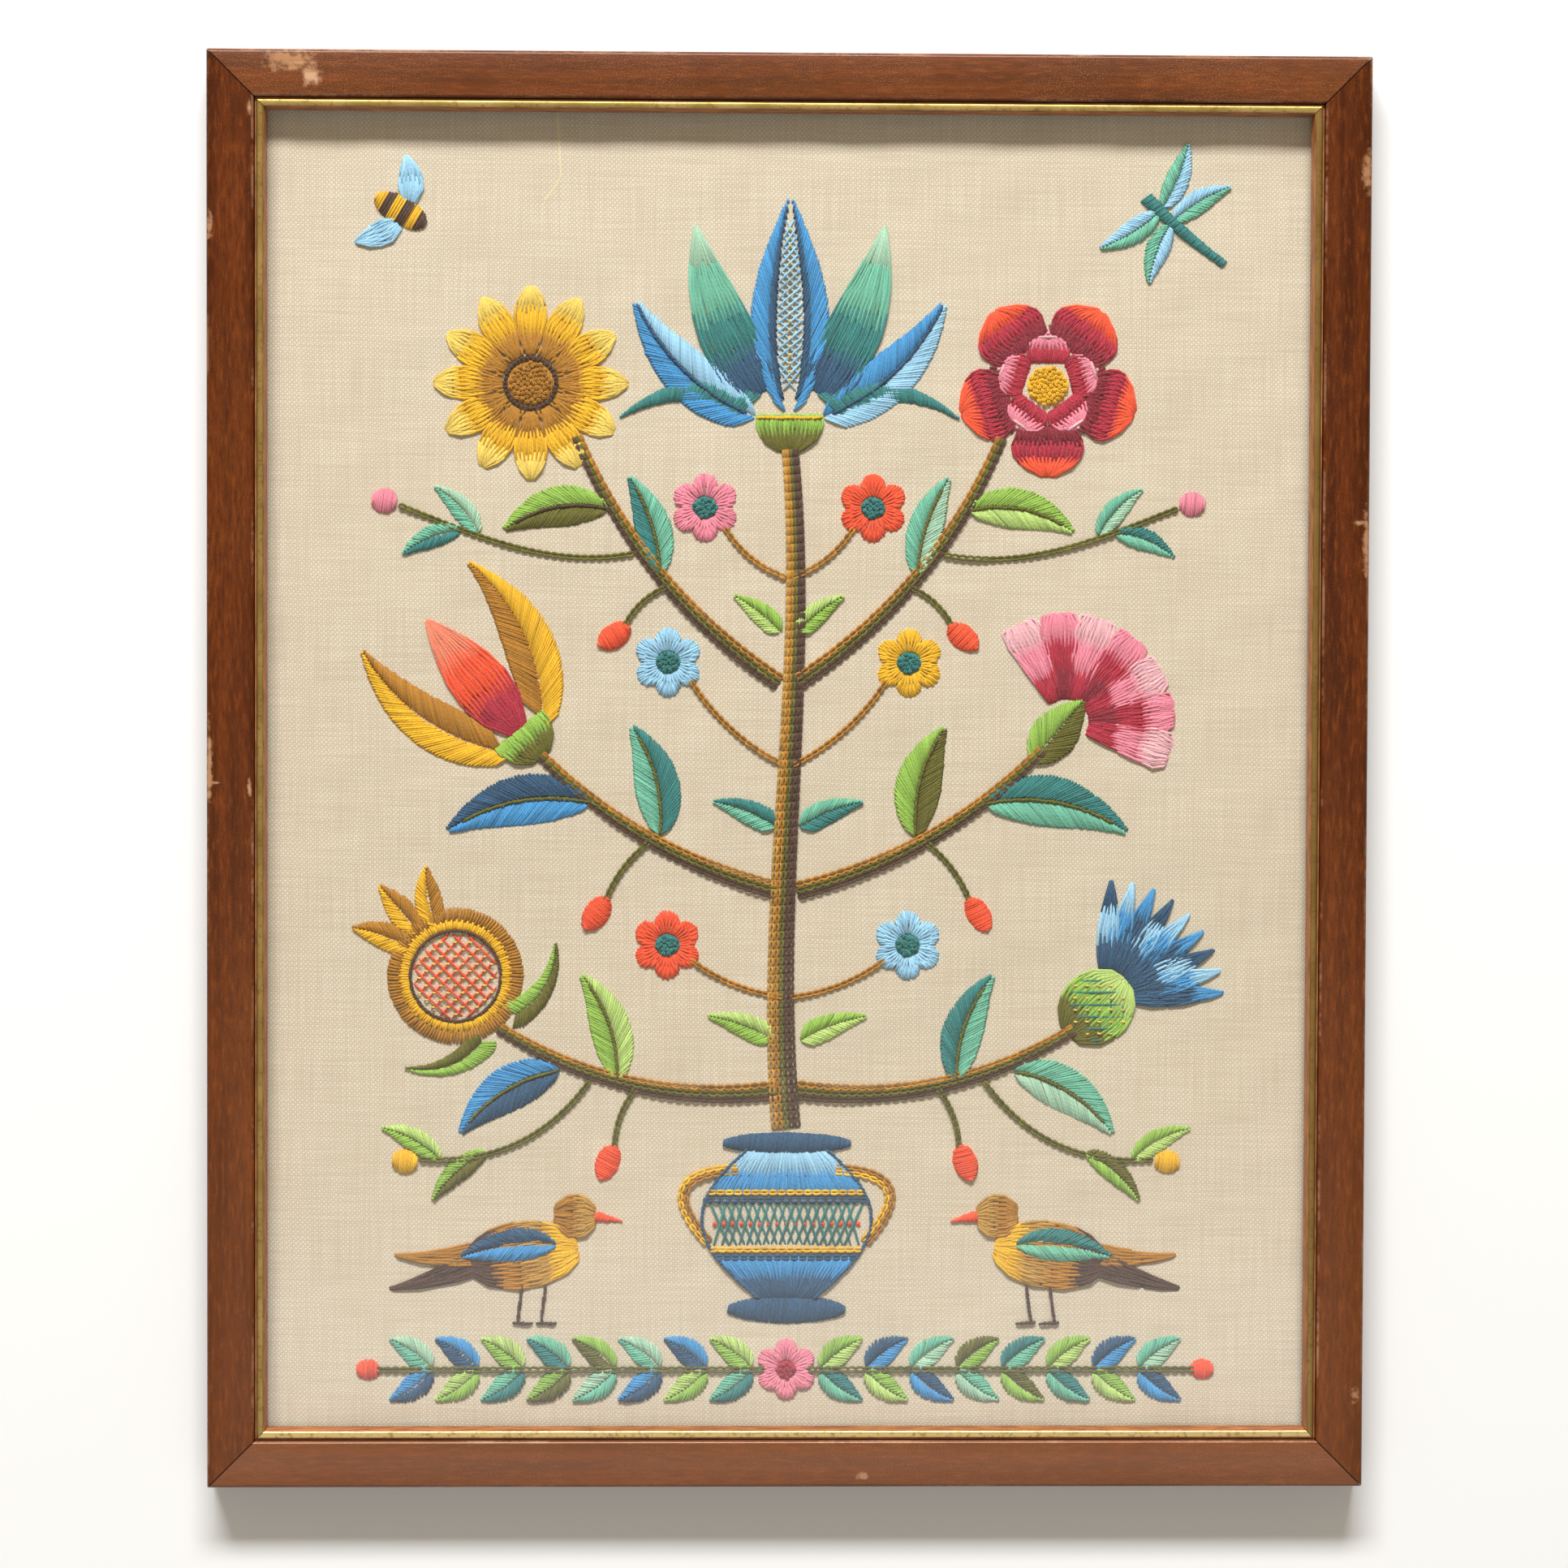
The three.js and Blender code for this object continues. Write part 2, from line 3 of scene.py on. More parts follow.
import bmesh
import bpy
import numpy as np
from mathutils import Euler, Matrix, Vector


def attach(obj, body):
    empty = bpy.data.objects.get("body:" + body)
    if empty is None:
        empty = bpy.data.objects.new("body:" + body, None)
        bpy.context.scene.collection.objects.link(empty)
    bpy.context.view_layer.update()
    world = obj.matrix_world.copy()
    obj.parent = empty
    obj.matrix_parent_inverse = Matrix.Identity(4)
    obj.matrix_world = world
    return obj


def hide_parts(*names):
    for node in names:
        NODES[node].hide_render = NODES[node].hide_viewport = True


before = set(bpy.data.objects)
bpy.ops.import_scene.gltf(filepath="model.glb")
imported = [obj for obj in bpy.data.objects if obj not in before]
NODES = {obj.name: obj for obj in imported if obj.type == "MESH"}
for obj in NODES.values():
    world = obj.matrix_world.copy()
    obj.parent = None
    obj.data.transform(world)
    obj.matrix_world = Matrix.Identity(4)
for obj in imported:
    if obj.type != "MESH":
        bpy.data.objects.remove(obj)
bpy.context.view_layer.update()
MM = 0.001
rng = np.random.default_rng(11)

# Sizes of the frame and of what lies in it, in millimetres.
SIGHT_WIDTH, SIGHT_HEIGHT = 396.0, 500.0
RAIL_WIDTH, RAIL_DEPTH = 22.2, 20.0
FACE_WIDTH = 17.8
REBATE_EDGE, REBATE_TOP = 16.9, 12.0
LIP_EDGE, LIP_TOP = 21.2, 15.0
SLIP_BACK, SLIP_QUIRK, SLIP_INNER = 18.1, 18.6, 21.5
SLIP_SEAT, QUIRK_FLOOR, SLIP_TOP = 15.3, 17.6, 18.7
GILDED_FROM = 18.5
ARRIS_ROUND, FOOT_ROUND = 1.5, 0.5
OUTER_WIDTH = SIGHT_WIDTH + 2 * RAIL_WIDTH
OUTER_HEIGHT = SIGHT_HEIGHT + 2 * RAIL_WIDTH
CLOTH_WIDTH, CLOTH_HEIGHT = SIGHT_WIDTH + 10, SIGHT_HEIGHT + 10
LINEN_TOP = 7.6
LINEN_THICK = 1.0
WARP_PITCH, WEFT_PITCH = 0.88, 0.94
WEFT_FALL = 0.085
MITRE_GAP = 0.15

# Yarn dyes.
DYES = {
    "navy": "2c5578",
    "sky": "4497d2",
    "ice": "9fd0ee",
    "teal": "32807f",
    "sea": "72bda2",
    "mint": "a9d0b4",
    "leaf": "97bf50",
    "lime": "bbd679",
    "olive": "686420",
    "gold": "f2b81f",
    "straw": "f2cf62",
    "ochre": "b57a22",
    "fawn": "c2913f",
    "brown": "55392f",
    "umber": "3f2a24",
    "coral": "fa5633",
    "salmon": "f88a6c",
    "pink": "f08aa0",
    "blush": "f2b6bf",
    "crimson": "b62541",
    "maroon": "8a1c33",
}


def linear(code):
    """Linear colour of an sRGB code."""
    c = np.array([int(code[i : i + 2], 16) for i in (0, 2, 4)]) / 255
    return np.where(c <= 0.04045, c / 12.92, ((c + 0.055) / 1.055) ** 2.4)


def rgba(code):
    return (*linear(code), 1.0)


# Shader graphs.
class Graph:
    """A material or world built node by node; a value is a number, a colour or another node's output."""

    def __init__(self, name, kind="Material"):
        owners = {"Material": bpy.data.materials, "World": bpy.data.worlds}
        self.material = owners[kind].new(name)
        self.material.use_nodes = True
        self.tree = self.material.node_tree
        self.tree.nodes.clear()
        self.output = self.add("Output" + kind)

    def add(self, kind, **settings):
        node = self.tree.nodes.new("ShaderNode" + kind)
        for key, value in settings.items():
            setattr(node, key, value)
        return node

    def put(self, socket, value):
        if isinstance(value, bpy.types.NodeSocket):
            self.tree.links.new(value, socket)
        else:
            socket.default_value = value

    def math(self, operation, *values):
        node = self.add("Math", operation=operation)
        for socket, value in zip(node.inputs, values):
            self.put(socket, value)
        return node.outputs[0]

    def vector(self, operation, *values):
        node = self.add("VectorMath", operation=operation)
        for socket, value in zip(node.inputs, values):
            self.put(socket, value)
        return node.outputs["Value" if operation in ("LENGTH", "DOT_PRODUCT") else "Vector"]

    def mix(self, share, a, b, blend="MIX"):
        node = self.add("Mix", data_type="RGBA", blend_type=blend)
        self.put(node.inputs["Factor"], share)
        self.put(node.inputs["A"], a)
        self.put(node.inputs["B"], b)
        return node.outputs["Result"]

    def step(self, value, low, high):
        """0 below low, 1 above high, smooth between; low may be the greater."""
        node = self.add("MapRange", interpolation_type="SMOOTHSTEP")
        for socket, v in zip(node.inputs, (value, low, high, 0.0, 1.0)):
            self.put(socket, v)
        return node.outputs[0]

    def tint(self, colour, code, share, value, low, high):
        """A colour turned towards an sRGB code, by up to share where value steps from low to high."""
        return self.mix(self.math("MULTIPLY", self.step(value, low, high), share), colour, rgba(code))

    def noise(self, coords, scale, detail=2.0):
        """Noise on coordinates stretched by scale, one factor an axis."""
        node = self.add("TexNoise")
        self.put(node.inputs["Vector"], self.vector("MULTIPLY", coords, scale))
        self.put(node.inputs["Scale"], 1.0)
        self.put(node.inputs["Detail"], detail)
        return node.outputs[0]

    def bump(self, height, strength, distance):
        node = self.add("Bump")
        self.put(node.inputs["Height"], height)
        self.put(node.inputs["Strength"], strength)
        self.put(node.inputs["Distance"], distance)
        return node.outputs[0]

    def surface(self, **values):
        node = self.add("BsdfPrincipled")
        for key, value in values.items():
            self.put(node.inputs[key.replace("_", " ")], value)
        self.tree.links.new(node.outputs[0], self.output.inputs[0])
        return self.material

    def place(self):
        return self.add("TexCoord").outputs["Object"]

    def off_line(self, coords, a, b):
        """How far a place is, seen from above, from the straight line between two points in millimetres."""
        run = Vector((b[0] - a[0], b[1] - a[1], 0.0)) * MM
        off = self.vector("MULTIPLY", self.vector("SUBTRACT", coords, (a[0] * MM, a[1] * MM, 0.0)), (1, 1, 0))
        share = self.math("DIVIDE", self.vector("DOT_PRODUCT", off, run), run.length_squared)
        share = self.math("MINIMUM", self.math("MAXIMUM", share, 0.0), 1.0)
        return self.vector("LENGTH", self.vector("SUBTRACT", off, self.vector("MULTIPLY", share, run)))

    def split(self, coords):
        node = self.add("SeparateXYZ")
        self.put(node.inputs[0], coords)
        return node.outputs


# Colours of the stained wood.
WOOD = {
    "dark": "411a05",
    "red": "632c0c",
    "broad": "763b14",
    "light_fleck": "8f4a1c",
    "dark_fleck": "3c1606",
    "pore": "3a1605",
    # The next colour is painted reflection, a pale veil mirrored in the varnish.
    "painted_sheen": "a86a3e",
    # Pale specks painted as glints on the varnish.
    "glint": "c8916a",
    "bare_dark": "ac7b54",
    "bare_light": "cda381",
    "joint": "1c0b04",
}

# Painted reflection: how much paler the wood is painted towards the foot of the frame, for the veil its
# varnish mirrors there.
FOOT_PAINTED_SHEEN = 0.17

# Bare spots on the rails: middle and half-sizes, in millimetres.
CHIPS = {
    "top": [
        {"x": -189, "y": 268, "rx": 9.5, "ry": 4.0},
        {"x": -181, "y": 263, "rx": 3.5, "ry": 5.0},
    ],
    "left": [
        {"x": -219, "y": 206, "rx": 1.6, "ry": 5.5},
        {"x": -204, "y": 250, "rx": 1.0, "ry": 2.2},
        {"x": -219.3, "y": 1, "rx": 1.3, "ry": 15.0},
        {"x": -217, "y": -4, "rx": 2.6, "ry": 0.6},
        {"x": -204, "y": -6, "rx": 0.8, "ry": 3.0},
    ],
    "right": [
        {"x": 218.5, "y": 229, "rx": 2.0, "ry": 9.0},
        {"x": 216.5, "y": 96, "rx": 2.8, "ry": 1.0},
        {"x": 219, "y": 88, "rx": 1.4, "ry": 13.0},
        {"x": 217, "y": -237, "rx": 1.6, "ry": 2.6},
    ],
    "bottom": [{"x": 29, "y": -268, "rx": 2.4, "ry": 1.4}],
}


def wood_material(name, grain, glint, painted_sheen, polish, chips):
    """Stained hardwood with its grain along axis 0 or 1; the settings after it are how much of its face
    carries pale specks painted as glints, how much a painted reflection pales it, and polish, how much of its
    varnish is left."""
    g = Graph(name)
    here = g.place()
    x, y, z = g.split(here)

    def grained(along, across):
        scale = [across, across, across]
        scale[grain] = along
        return scale

    streak = g.noise(here, grained(11.0, 240.0), 3.0)
    broad = g.noise(here, grained(6.0, 50.0), 2.0)
    pores = g.noise(here, grained(300.0, 2600.0), 1.0)
    speck = g.noise(here, grained(1900.0, 2500.0), 1.0)
    patch = g.noise(here, [30.0, 30.0, 30.0], 2.0)
    fine = g.noise(here, [420.0, 420.0, 420.0], 2.0)
    mottle = g.noise(here, grained(130.0, 750.0), 3.0)
    stain = g.mix(g.step(streak, 0.28, 0.72), rgba(WOOD["dark"]), rgba(WOOD["red"]))
    stain = g.tint(stain, WOOD["broad"], 0.5, broad, 0.4, 0.7)
    stain = g.tint(stain, WOOD["light_fleck"], 0.36, mottle, 0.5, 0.72)
    stain = g.tint(stain, WOOD["dark_fleck"], 0.5, mottle, 0.5, 0.3)
    stain = g.tint(stain, WOOD["pore"], 0.4, pores, 0.56, 0.7)
    # Painted reflection: the wood paled, more towards the foot of the frame and on the sides that catch the
    # light.
    painted_veil = g.math("MULTIPLY_ADD", g.step(y, 0.08, -0.26), FOOT_PAINTED_SHEEN, painted_sheen)
    stain = g.mix(painted_veil, stain, rgba(WOOD["painted_sheen"]))
    # Painted glints: pale specks in patches over the varnish.
    pale = g.math("MULTIPLY", g.step(speck, 0.5, 0.78), g.step(patch, 0.25, 0.6))
    stain = g.mix(g.math("MULTIPLY", pale, glint), stain, rgba(WOOD["glint"]))
    from_side = g.math("SUBTRACT", OUTER_WIDTH / 2 * MM, g.math("ABSOLUTE", x))
    from_end = g.math("SUBTRACT", OUTER_HEIGHT / 2 * MM, g.math("ABSOLUTE", y))
    inwards = g.math("MINIMUM", from_side, from_end)
    off_mitre = g.math("ABSOLUTE", g.math("SUBTRACT", from_side, from_end))
    near_outer = g.step(inwards, 1.5 * MM, 0.1 * MM)
    near_inner = g.step(
        g.math("ABSOLUTE", g.math("SUBTRACT", inwards, (FACE_WIDTH - 0.3) * MM)), 0.9 * MM, 0.1 * MM
    )
    arris = g.math("MULTIPLY", g.math("MAXIMUM", near_outer, near_inner), g.step(z, 17.5 * MM, 19.5 * MM))
    uneven = g.math("ADD", patch, g.math("MULTIPLY", fine, 0.35))
    rubbed = g.math("MULTIPLY", arris, g.step(uneven, 0.66, 0.86))
    bare = g.math("MULTIPLY", rubbed, 0.5)
    down = g.math("MULTIPLY_ADD", fine, 12 * MM, z)
    chipped = g.math("MULTIPLY", g.step(down, 19.5 * MM, 22.5 * MM), 0.88)
    for chip in chips:
        off = g.vector("SUBTRACT", here, (chip["x"] * MM, chip["y"] * MM, 0.0))
        reach = g.vector("MULTIPLY", off, (1000 / chip["rx"], 1000 / chip["ry"], 0.0))
        ragged = g.math("ADD", g.vector("LENGTH", reach), g.math("MULTIPLY", fine, 2.2))
        bare = g.math("MAXIMUM", bare, g.math("MULTIPLY", g.step(ragged, 2.35, 1.35), chipped))
    raw = g.mix(g.step(streak, 0.35, 0.65), rgba(WOOD["bare_dark"]), rgba(WOOD["bare_light"]))
    colour = g.mix(bare, stain, raw)
    joint = g.math("MULTIPLY", g.step(off_mitre, 0.6 * MM, 0.2 * MM), 0.75)
    colour = g.mix(joint, colour, rgba(WOOD["joint"]))
    rough = g.math("ADD", 0.38, g.math("MULTIPLY", bare, 0.45))
    return g.surface(
        Base_Color=colour,
        Roughness=rough,
        Specular_IOR_Level=0.12,
        Coat_Weight=polish,
        Coat_Roughness=0.24,
        Normal=g.bump(g.step(pores, 0.68, 0.52), 0.25, 0.1 * MM),
    )


def gilt_material(name, side_shade, pale):
    """Gold leaf; its two settings are how much painted shade turns it towards the brown ground, and how much
    painted highlight pales it.
    """
    g = Graph(name)
    here = g.place()
    cloud = g.noise(here, [55.0, 55.0, 55.0], 4.0)
    rub = g.noise(here, [620.0, 620.0, 620.0], 3.0)
    gold = g.mix(g.step(cloud, 0.3, 0.7), rgba("9c8444"), rgba("c4a763"))
    # Painted highlight: paler gold where a side catches the light.
    gold = g.mix(pale, gold, rgba("efd592"))
    _, y, _ = g.split(here)
    # Painted reflection: paler gold towards the foot of the frame.
    gold = g.tint(gold, "dcc27c", 0.3, y, -0.1, -0.26)
    # Painted shade: browner gold on the sides that do not catch the light.
    gold = g.mix(side_shade, gold, rgba("7d5526"))
    colour = g.tint(gold, "75502a", 0.55, rub, 0.5, 0.72)
    return g.surface(
        Base_Color=colour,
        Metallic=0.8,
        Roughness=g.math("ADD", 0.3, g.math("MULTIPLY", rub, 0.25)),
        Normal=g.bump(rub, 0.25, 0.1 * MM),
    )


def sight_material():
    g = Graph("sight_edge_stain")
    grain = g.noise(g.place(), [130.0, 130.0, 600.0], 3.0)
    colour = g.mix(g.step(grain, 0.3, 0.7), rgba("864c25"), rgba("b87440"))
    return g.surface(Base_Color=colour, Roughness=0.42)


def board_material():
    g = Graph("mount_card")
    fleck = g.noise(g.place(), [900.0, 900.0, 900.0], 4.0)
    cloud = g.noise(g.place(), [14.0, 14.0, 14.0], 3.0)
    colour = g.mix(g.step(fleck, 0.3, 0.75), rgba("8d7556"), rgba("ab9270"))
    colour = g.tint(colour, "7a6446", 0.35, cloud, 0.45, 0.75)
    return g.surface(Base_Color=colour, Roughness=0.9, Normal=g.bump(fleck, 0.2, 0.1 * MM))


def glass_material():
    """Clear flat glass: what is behind shows straight through, with a weak mirror image on top."""
    g = Graph("clear_glass")
    clear = g.add("BsdfTransparent")
    g.put(clear.inputs["Color"], (0.975, 0.985, 0.975, 1.0))
    mirror = g.add("BsdfGlossy")
    g.put(mirror.inputs["Roughness"], 0.03)
    grazing = g.math("POWER", g.add("LayerWeight").outputs["Facing"], 5.0)
    blend = g.add("MixShader")
    g.put(blend.inputs[0], g.math("MULTIPLY_ADD", grazing, 0.96, 0.04))
    g.put(blend.inputs[1], clear.outputs[0])
    g.put(blend.inputs[2], mirror.outputs[0])
    g.put(g.output.inputs[0], blend.outputs[0])
    return g.material


# Colours of the linen.
LINEN = {
    "under": "d3c2ac",
    # The next colour is painted highlight on the crowns where the weft lies on top.
    "over": "e7dccb",
    "slub_light": "e5d9c6",
    "slub_dark": "c2af93",
    "end_light": "e3d6c3",
    "end_dark": "c6b499",
    "cloud": "cdbba1",
    # Painted shade in the gaps between threads.
    "gap_shade": "bdaa8e",
    "loose": "e9d6ae",
}

# A loose thread that lies on the linen under the upper rail: the bends of its run, in millimetres.
LOOSE_THREAD = [(-88.6, 254), (-88.0, 240), (-87.3, 227), (-88.6, 223.5), (-93.2, 217.5)]


def linen_material():
    """Undyed plain weave: two sets of uneven threads that cross over and under, with painted highlight where
    the weft lies on top and painted shade in the gaps between threads.
    """
    g = Graph("linen_weave")
    here = g.place()
    drift = g.noise(here, [28.0, 28.0, 1.0], 1.0)
    x, y, _ = g.split(here)
    sway = g.math("MULTIPLY", drift, 9.0)
    fallen = g.math("MULTIPLY_ADD", x, WEFT_FALL, y)
    warp = g.math("SINE", g.math("MULTIPLY_ADD", x, math.pi / (WARP_PITCH * MM), sway))
    weft = g.math("SINE", g.math("MULTIPLY_ADD", fallen, math.pi / (WEFT_PITCH * MM), sway))
    cross = g.math("MULTIPLY", warp, weft)
    crown = g.math("ABSOLUTE", cross)
    slub_x = g.noise(here, [38.0, 1000.0, 1.0], 1.0)
    slub_y = g.noise(here, [1000.0, 30.0, 1.0], 1.0)
    thick = g.math("MULTIPLY", g.math("SUBTRACT", g.math("ADD", slub_x, slub_y), 1.0), 1.3)
    over = g.step(g.math("ADD", cross, thick), 0.05, 0.8)
    cloud = g.noise(here, [16.0, 16.0, 1.0], 2.0)
    # Painted highlight: the paler colour where the weft lies on top.
    thread = g.mix(over, rgba(LINEN["under"]), rgba(LINEN["over"]))
    thread = g.tint(thread, LINEN["slub_light"], 0.2, slub_x, 0.52, 0.76)
    thread = g.tint(thread, LINEN["slub_dark"], 0.16, slub_x, 0.46, 0.26)
    thread = g.tint(thread, LINEN["end_light"], 0.12, slub_y, 0.55, 0.78)
    thread = g.tint(thread, LINEN["end_dark"], 0.1, slub_y, 0.45, 0.27)
    thread = g.tint(thread, LINEN["cloud"], 0.2, cloud, 0.5, 0.8)
    # Painted shade: darker in the gaps between threads.
    colour = g.tint(thread, LINEN["gap_shade"], 0.45, crown, 0.24, 0.0)
    astray = 1.0
    for a, b in zip(LOOSE_THREAD, LOOSE_THREAD[1:]):
        astray = g.math("MINIMUM", astray, g.off_line(here, a, b))
    laid = g.step(astray, 0.55 * MM, 0.25 * MM)
    colour = g.mix(g.math("MULTIPLY", laid, 0.8), colour, rgba(LINEN["loose"]))
    height = g.math("ADD", crown, g.math("MULTIPLY", slub_x, 0.8))
    height = g.math("ADD", height, g.math("MULTIPLY", laid, 1.5))
    return g.surface(
        Base_Color=colour,
        Roughness=0.92,
        Specular_IOR_Level=0.2,
        Normal=g.bump(height, 0.28, 0.2 * MM),
    )


def yarn_material():
    """Two-ply wool: each stitch has its own dye, and plies and fibres wind along it; painted shade darkens
    its ply grooves and the low places between fibres, and painted highlight pales the raised fibre streaks.
    """
    g = Graph("crewel_wool")
    dye = g.add("Attribute", attribute_name="dye").outputs["Color"]
    along, around, _ = g.split(g.add("UVMap", uv_map="yarn").outputs[0])
    wound = g.math("MULTIPLY_ADD", along, 0.55, around)
    ply = g.math("SINE", g.math("MULTIPLY", wound, 4 * math.pi))
    fibre_place = g.add("CombineXYZ")
    g.put(fibre_place.inputs[0], along)
    g.put(fibre_place.inputs[1], wound)
    fibres = g.noise(fibre_place.outputs[0], [2.2, 13.0, 1.0], 2.0)
    # A darker copy of the dye, laid as painted shade in the ply grooves and in the low places between fibres.
    shade = g.mix(1.0, dye, (0.6, 0.58, 0.58, 1.0), "MULTIPLY")
    colour = g.mix(g.math("MULTIPLY", g.step(ply, -0.3, -1.0), 0.35), dye, shade)
    colour = g.mix(g.math("MULTIPLY", g.step(fibres, 0.48, 0.3), 0.6), colour, shade)
    # Painted highlight: a paler copy of the dye for the raised fibre streaks.
    painted_highlight = g.mix(0.15, dye, (1.0, 1.0, 1.0, 1.0))
    colour = g.mix(g.math("MULTIPLY", g.step(fibres, 0.52, 0.72), 0.75), colour, painted_highlight)
    height = g.math("MULTIPLY_ADD", ply, 0.3, g.math("MULTIPLY", fibres, 1.6))
    return g.surface(
        Base_Color=colour,
        Roughness=0.8,
        Specular_IOR_Level=0.3,
        Sheen_Weight=0.12,
        Sheen_Roughness=0.5,
        Normal=g.bump(height, 0.5, 0.12 * MM),
    )


def floor_material():
    g = Graph("pale_floor")
    return g.surface(Base_Color=(0.9, 0.9, 0.9, 1.0), Roughness=0.8)


# Pieces.
def piece(name, mesh, materials, nodes):
    """A piece in place, riding on the frame's one body and standing for CAD nodes."""
    made = bpy.data.objects.new(name, mesh)
    bpy.context.scene.collection.objects.link(made)
    for material in materials:
        mesh.materials.append(material)
    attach(made, "root")
    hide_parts(*nodes)
    return made


def mitred_length(name, section, side, materials, node, rounds, gilded=0.0):
    """A length of moulding: the section's points (inwards, up) swept along one side and cut at 45 degrees.
    rounds are (point, radius) of the long edges that are eased; faces below gilded take material 1."""
    turn, length, offset = side
    bm = bmesh.new()
    ring = [
        bm.verts.new((-(length / 2 - MITRE_GAP - a) * MM, (a - offset) * MM, z * MM)) for a, z in section
    ]
    end = bm.faces.new(ring)
    swept = bmesh.ops.extrude_face_region(bm, geom=[end])["geom"]
    for vert in (v for v in swept if isinstance(v, bmesh.types.BMVert)):
        vert.co.x = -vert.co.x
    bmesh.ops.recalc_face_normals(bm, faces=bm.faces)
    for face in bm.faces:
        middle = face.calc_center_median() / MM
        face.material_index = 1 if gilded and (middle.z < gilded or abs(face.normal.x) > 0.5) else 0
    for (a, z), radius in rounds:
        long_edges = [
            e
            for e in bm.edges
            if abs(e.verts[0].co.x + e.verts[1].co.x) < 1e-6
            and all(abs(v.co.y / MM + offset - a) < 0.02 and abs(v.co.z / MM - z) < 0.02 for v in e.verts)
        ]
        bmesh.ops.bevel(
            bm, geom=long_edges, offset=radius * MM, segments=4, profile=0.5, affect="EDGES", material=-1
        )
    bmesh.ops.rotate(bm, verts=bm.verts, cent=(0, 0, 0), matrix=Euler((0, 0, math.radians(turn))).to_matrix())
    mesh = bpy.data.meshes.new(name)
    bm.to_mesh(mesh)
    bm.free()
    mesh.shade_smooth()
    mesh.set_sharp_from_angle(angle=math.radians(30))
    return piece(name, mesh, materials, [node])


SIDES = {
    "bottom": (0, OUTER_WIDTH, OUTER_HEIGHT / 2),
    "right": (90, OUTER_HEIGHT, OUTER_WIDTH / 2),
    "top": (180, OUTER_WIDTH, OUTER_HEIGHT / 2),
    "left": (270, OUTER_HEIGHT, OUTER_WIDTH / 2),
}
RAIL_SECTION = [
    (0, 0),
    (REBATE_EDGE, 0),
    (REBATE_EDGE, REBATE_TOP),
    (LIP_EDGE, REBATE_TOP),
    (LIP_EDGE, LIP_TOP),
    (FACE_WIDTH, LIP_TOP),
    (FACE_WIDTH, RAIL_DEPTH),
    (0, RAIL_DEPTH),
]
RAIL_ROUNDS = [((0, RAIL_DEPTH), ARRIS_ROUND), ((FACE_WIDTH, RAIL_DEPTH), ARRIS_ROUND), ((0, 0), FOOT_ROUND)]
SLIP_SECTION = [
    (SLIP_BACK, SLIP_SEAT),
    (SLIP_INNER, SLIP_SEAT),
    (SLIP_INNER, REBATE_TOP),
    (RAIL_WIDTH, REBATE_TOP),
    (SLIP_INNER, SLIP_TOP),
    (SLIP_QUIRK, SLIP_TOP),
    (SLIP_QUIRK, QUIRK_FLOOR),
    (SLIP_BACK, QUIRK_FLOOR),
]
SLIP_ROUNDS = [((SLIP_INNER, SLIP_TOP), 1.0), ((SLIP_QUIRK, SLIP_TOP), 0.8)]

# How each side is painted: pale specks painted as glints and a painted reflection paling the wood, varnish
# left on the wood, then painted shade and painted highlight on the gilding.
GLINT = {"bottom": 0.22, "right": 0.08, "top": 0.34, "left": 0.08}
PAINTED_SHEEN = {"bottom": 0.16, "right": 0.0, "top": 0.12, "left": 0.0}
POLISH = {"bottom": 0.6, "right": 0.2, "top": 0.25, "left": 0.2}
GILT_SIDE_SHADE = {"bottom": 0.0, "right": 0.55, "top": 0.0, "left": 0.2}
GILT_HIGHLIGHT = {"bottom": 0.9, "right": 0.0, "top": 0.0, "left": 0.0}
sight = sight_material()
for side, run in SIDES.items():
    grain = 0 if side in ("top", "bottom") else 1
    wood = wood_material(f"stained_wood_{side}", grain, GLINT[side], PAINTED_SHEEN[side], POLISH[side], CHIPS[side])
    mitred_length(f"wood_rail_{side}", RAIL_SECTION, run, [wood], f"rail_{side}", RAIL_ROUNDS)
    gilt = gilt_material(f"gilt_leaf_{side}", GILT_SIDE_SHADE[side], GILT_HIGHLIGHT[side])
    mitred_length(
        f"gilt_strip_{side}", SLIP_SECTION, run, [gilt, sight], f"gilt_slip_{side}", SLIP_ROUNDS, GILDED_FROM
    )
for node, material in (("glass_pane", glass_material()), ("mount_board", board_material())):
    NODES[node].data.materials.clear()
    NODES[node].data.materials.append(material)
NODES["glass_pane"].visible_shadow = False
NODES["glass_pane"].visible_diffuse = False


# The linen: a stretched sheet with slight random waves, like those the stitching draws into it.
def wave(x, y):
    total = np.zeros_like(x)
    for length, height in ((95, 0.14), (52, 0.1), (31, 0.07), (19, 0.04)):
        for _ in range(3):
            heading = rng.uniform(0, math.pi)
            phase = rng.uniform(0, 2 * math.pi)
            along = x * math.cos(heading) + y * math.sin(heading)
            total += height * np.sin(2 * math.pi / length * along + phase)
    return total


bm = bmesh.new()
bmesh.ops.create_grid(bm, x_segments=110, y_segments=138, size=0.5)
xs = np.array([v.co.x for v in bm.verts]) * CLOTH_WIDTH
ys = np.array([v.co.y for v in bm.verts]) * CLOTH_HEIGHT
rise = np.clip(wave(xs, ys), -0.28, 0.28)
for vert, x, y, z in zip(bm.verts, xs, ys, rise):
    vert.co = Vector((x, y, LINEN_TOP + z - 0.1)) * MM
bmesh.ops.solidify(bm, geom=bm.faces[:], thickness=LINEN_THICK * MM)
bmesh.ops.recalc_face_normals(bm, faces=bm.faces)
for face in bm.faces:
    face.smooth = True
linen_mesh = bpy.data.meshes.new("linen_ground")
bm.to_mesh(linen_mesh)
bm.free()
linen = piece("linen_ground", linen_mesh, [linen_material()], ["linen_panel"])

